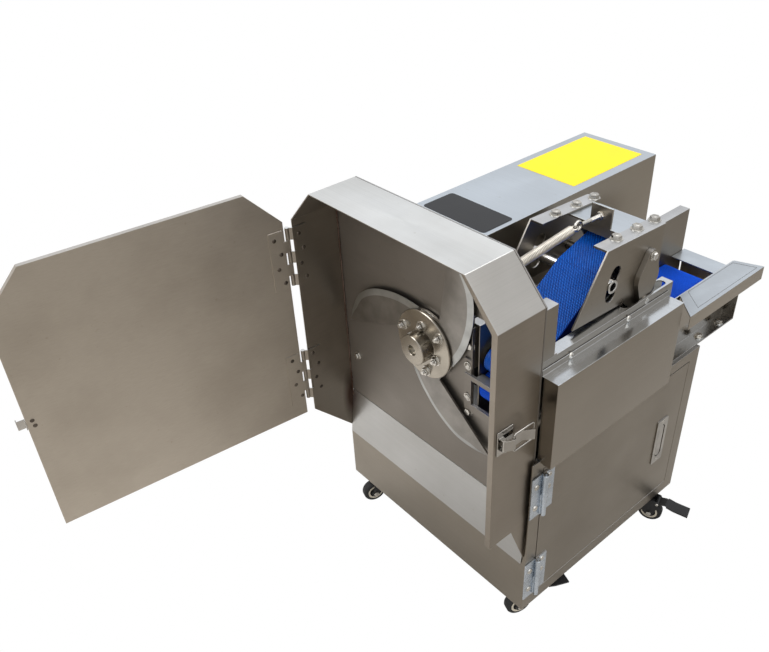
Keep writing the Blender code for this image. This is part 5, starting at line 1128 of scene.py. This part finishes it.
def make_controls():
    """Rings round the buttons and the knob, and a pointer line on the knob."""
    shape = bmesh.new()
    inner = CONTROL_RING_R - 0.0006
    outer = CONTROL_RING_R + 0.0012
    profile = ((inner, -0.0006), (outer, -0.0006), (outer, -0.0018), (inner, -0.0018), (inner, -0.0006))
    for y in CONTROL_Y:
        lathe(shape, profile, toward(place(CONTROL_X, y, CONTROL_Z), (-1, 0, 0)), 40)
    finish_piece("button_rings", shape, [CHROME], "root")
    shape = bmesh.new()
    x = CONTROL_X - KNOB_GAP - KNOB_H
    slab(shape, [place(x, y, z) for y, z in POINTER], (-1, 0, 0), 0.0002)
    finish_piece("knob_pointer", shape, [POINTER_WHITE], "speed_knob")


def make_camera():
    camera = bpy.data.objects.new("camera", bpy.data.cameras.new("camera"))
    bpy.context.scene.collection.objects.link(camera)
    camera.data.lens = LENS_MM
    camera.data.sensor_width = SENSOR_MM
    camera.data.sensor_fit = "HORIZONTAL"
    camera.data.clip_start = 0.01
    camera.data.clip_end = 50
    ahead = AHEAD.normalized()
    side = (RIGHT - ahead * RIGHT.dot(ahead)).normalized()
    up = side.cross(ahead)
    turn = Matrix((side, up, -ahead)).transposed().to_4x4()
    camera.matrix_world = Matrix.Translation(ORIGIN + EYE) @ turn
    bpy.context.scene.camera = camera


def make_studio():
    bpy.context.scene.view_settings.view_transform = "Standard"
    world = bpy.data.worlds.new("studio")
    bpy.context.scene.world = world
    world.use_nodes = True
    tree = world.node_tree
    background = tree.nodes["Background"]
    coordinates = node(tree, "ShaderNodeTexCoord")
    height = node(tree, "ShaderNodeSeparateXYZ")
    tree.links.new(coordinates.outputs["Generated"], height.inputs[0])
    level = spread(tree, height.outputs["Z"], source_low=-0.4)
    sky = ramp(tree, level, ((0.0, (0.50, 0.48, 0.46)), (0.30, (0.66, 0.65, 0.64)),
                             (0.62, (0.92, 0.93, 0.95))))
    path = node(tree, "ShaderNodeLightPath")
    seen = mix(tree, path.outputs["Is Camera Ray"], sky, (1.0, 1.0, 1.0))
    tree.links.new(seen, background.inputs["Color"])
    background.inputs["Strength"].default_value = 1.0
    for name, spot, size, power in LAMPS:
        lamp = bpy.data.objects.new(name, bpy.data.lights.new(name, "AREA"))
        bpy.context.scene.collection.objects.link(lamp)
        lamp.data.size = size
        lamp.data.energy = power
        lamp.location = spot
        lamp.rotation_euler = (LAMP_AIM - Vector(spot)).to_track_quat("-Z", "Y").to_euler()
    shape = bmesh.new()
    bmesh.ops.create_grid(shape, x_segments=1, y_segments=1, size=8)
    mesh = bpy.data.meshes.new("floor")
    shape.to_mesh(mesh)
    shape.free()
    floor = bpy.data.objects.new("floor", mesh)
    bpy.context.scene.collection.objects.link(floor)
    mesh.materials.append(floor_look())


def floor_look():
    """White to the camera; reflections see a warm grey floor with painted shade that makes it darker to the
    machine's right.
    """
    made, tree, shader, coordinates = start("pale floor")
    grain = noise(tree, coordinates.outputs["Object"], 3, 3)
    side = node(tree, "ShaderNodeSeparateXYZ")
    tree.links.new(coordinates.outputs["Object"], side.inputs[0])
    # Painted shade: the floor seen in reflections darkens towards the machine's right, so the metal there
    # shows a darker painted reflection.
    right = spread(tree, side.outputs["X"], source_low=-0.2, source_high=0.7)
    tone = ramp(tree, right, ((0.0, (0.86, 0.83, 0.79)), (1.0, (0.36, 0.335, 0.30))))
    dust = ramp(tree, grain, ((0.3, (0.80, 0.80, 0.80)), (0.7, (1, 1, 1))))
    base = mix(tree, 0.12, tone, dust, "MULTIPLY")
    tree.links.new(base, shader.inputs["Base Color"])
    shader.inputs["Roughness"].default_value = 0.9
    white = node(tree, "ShaderNodeEmission")
    path = node(tree, "ShaderNodeLightPath")
    choice = node(tree, "ShaderNodeMixShader")
    tree.links.new(path.outputs["Is Camera Ray"], choice.inputs[0])
    tree.links.new(shader.outputs[0], choice.inputs[1])
    tree.links.new(white.outputs[0], choice.inputs[2])
    tree.links.new(choice.outputs[0], tree.nodes["Material Output"].inputs["Surface"])
    return made


make_camera()
make_studio()
dress_cad()
make_lower_belt()
make_press_belt()
make_blades()
make_hub()
make_chamber_fasteners()
make_weld()
make_press_fasteners()
make_eye_bolt()
make_spring()
make_conveyor_screws()
make_cabinet_hinges()
make_lock_face()
make_seams()
make_plates()
make_bail()
make_castors()
make_controls()

bpy.context.view_layer.update()
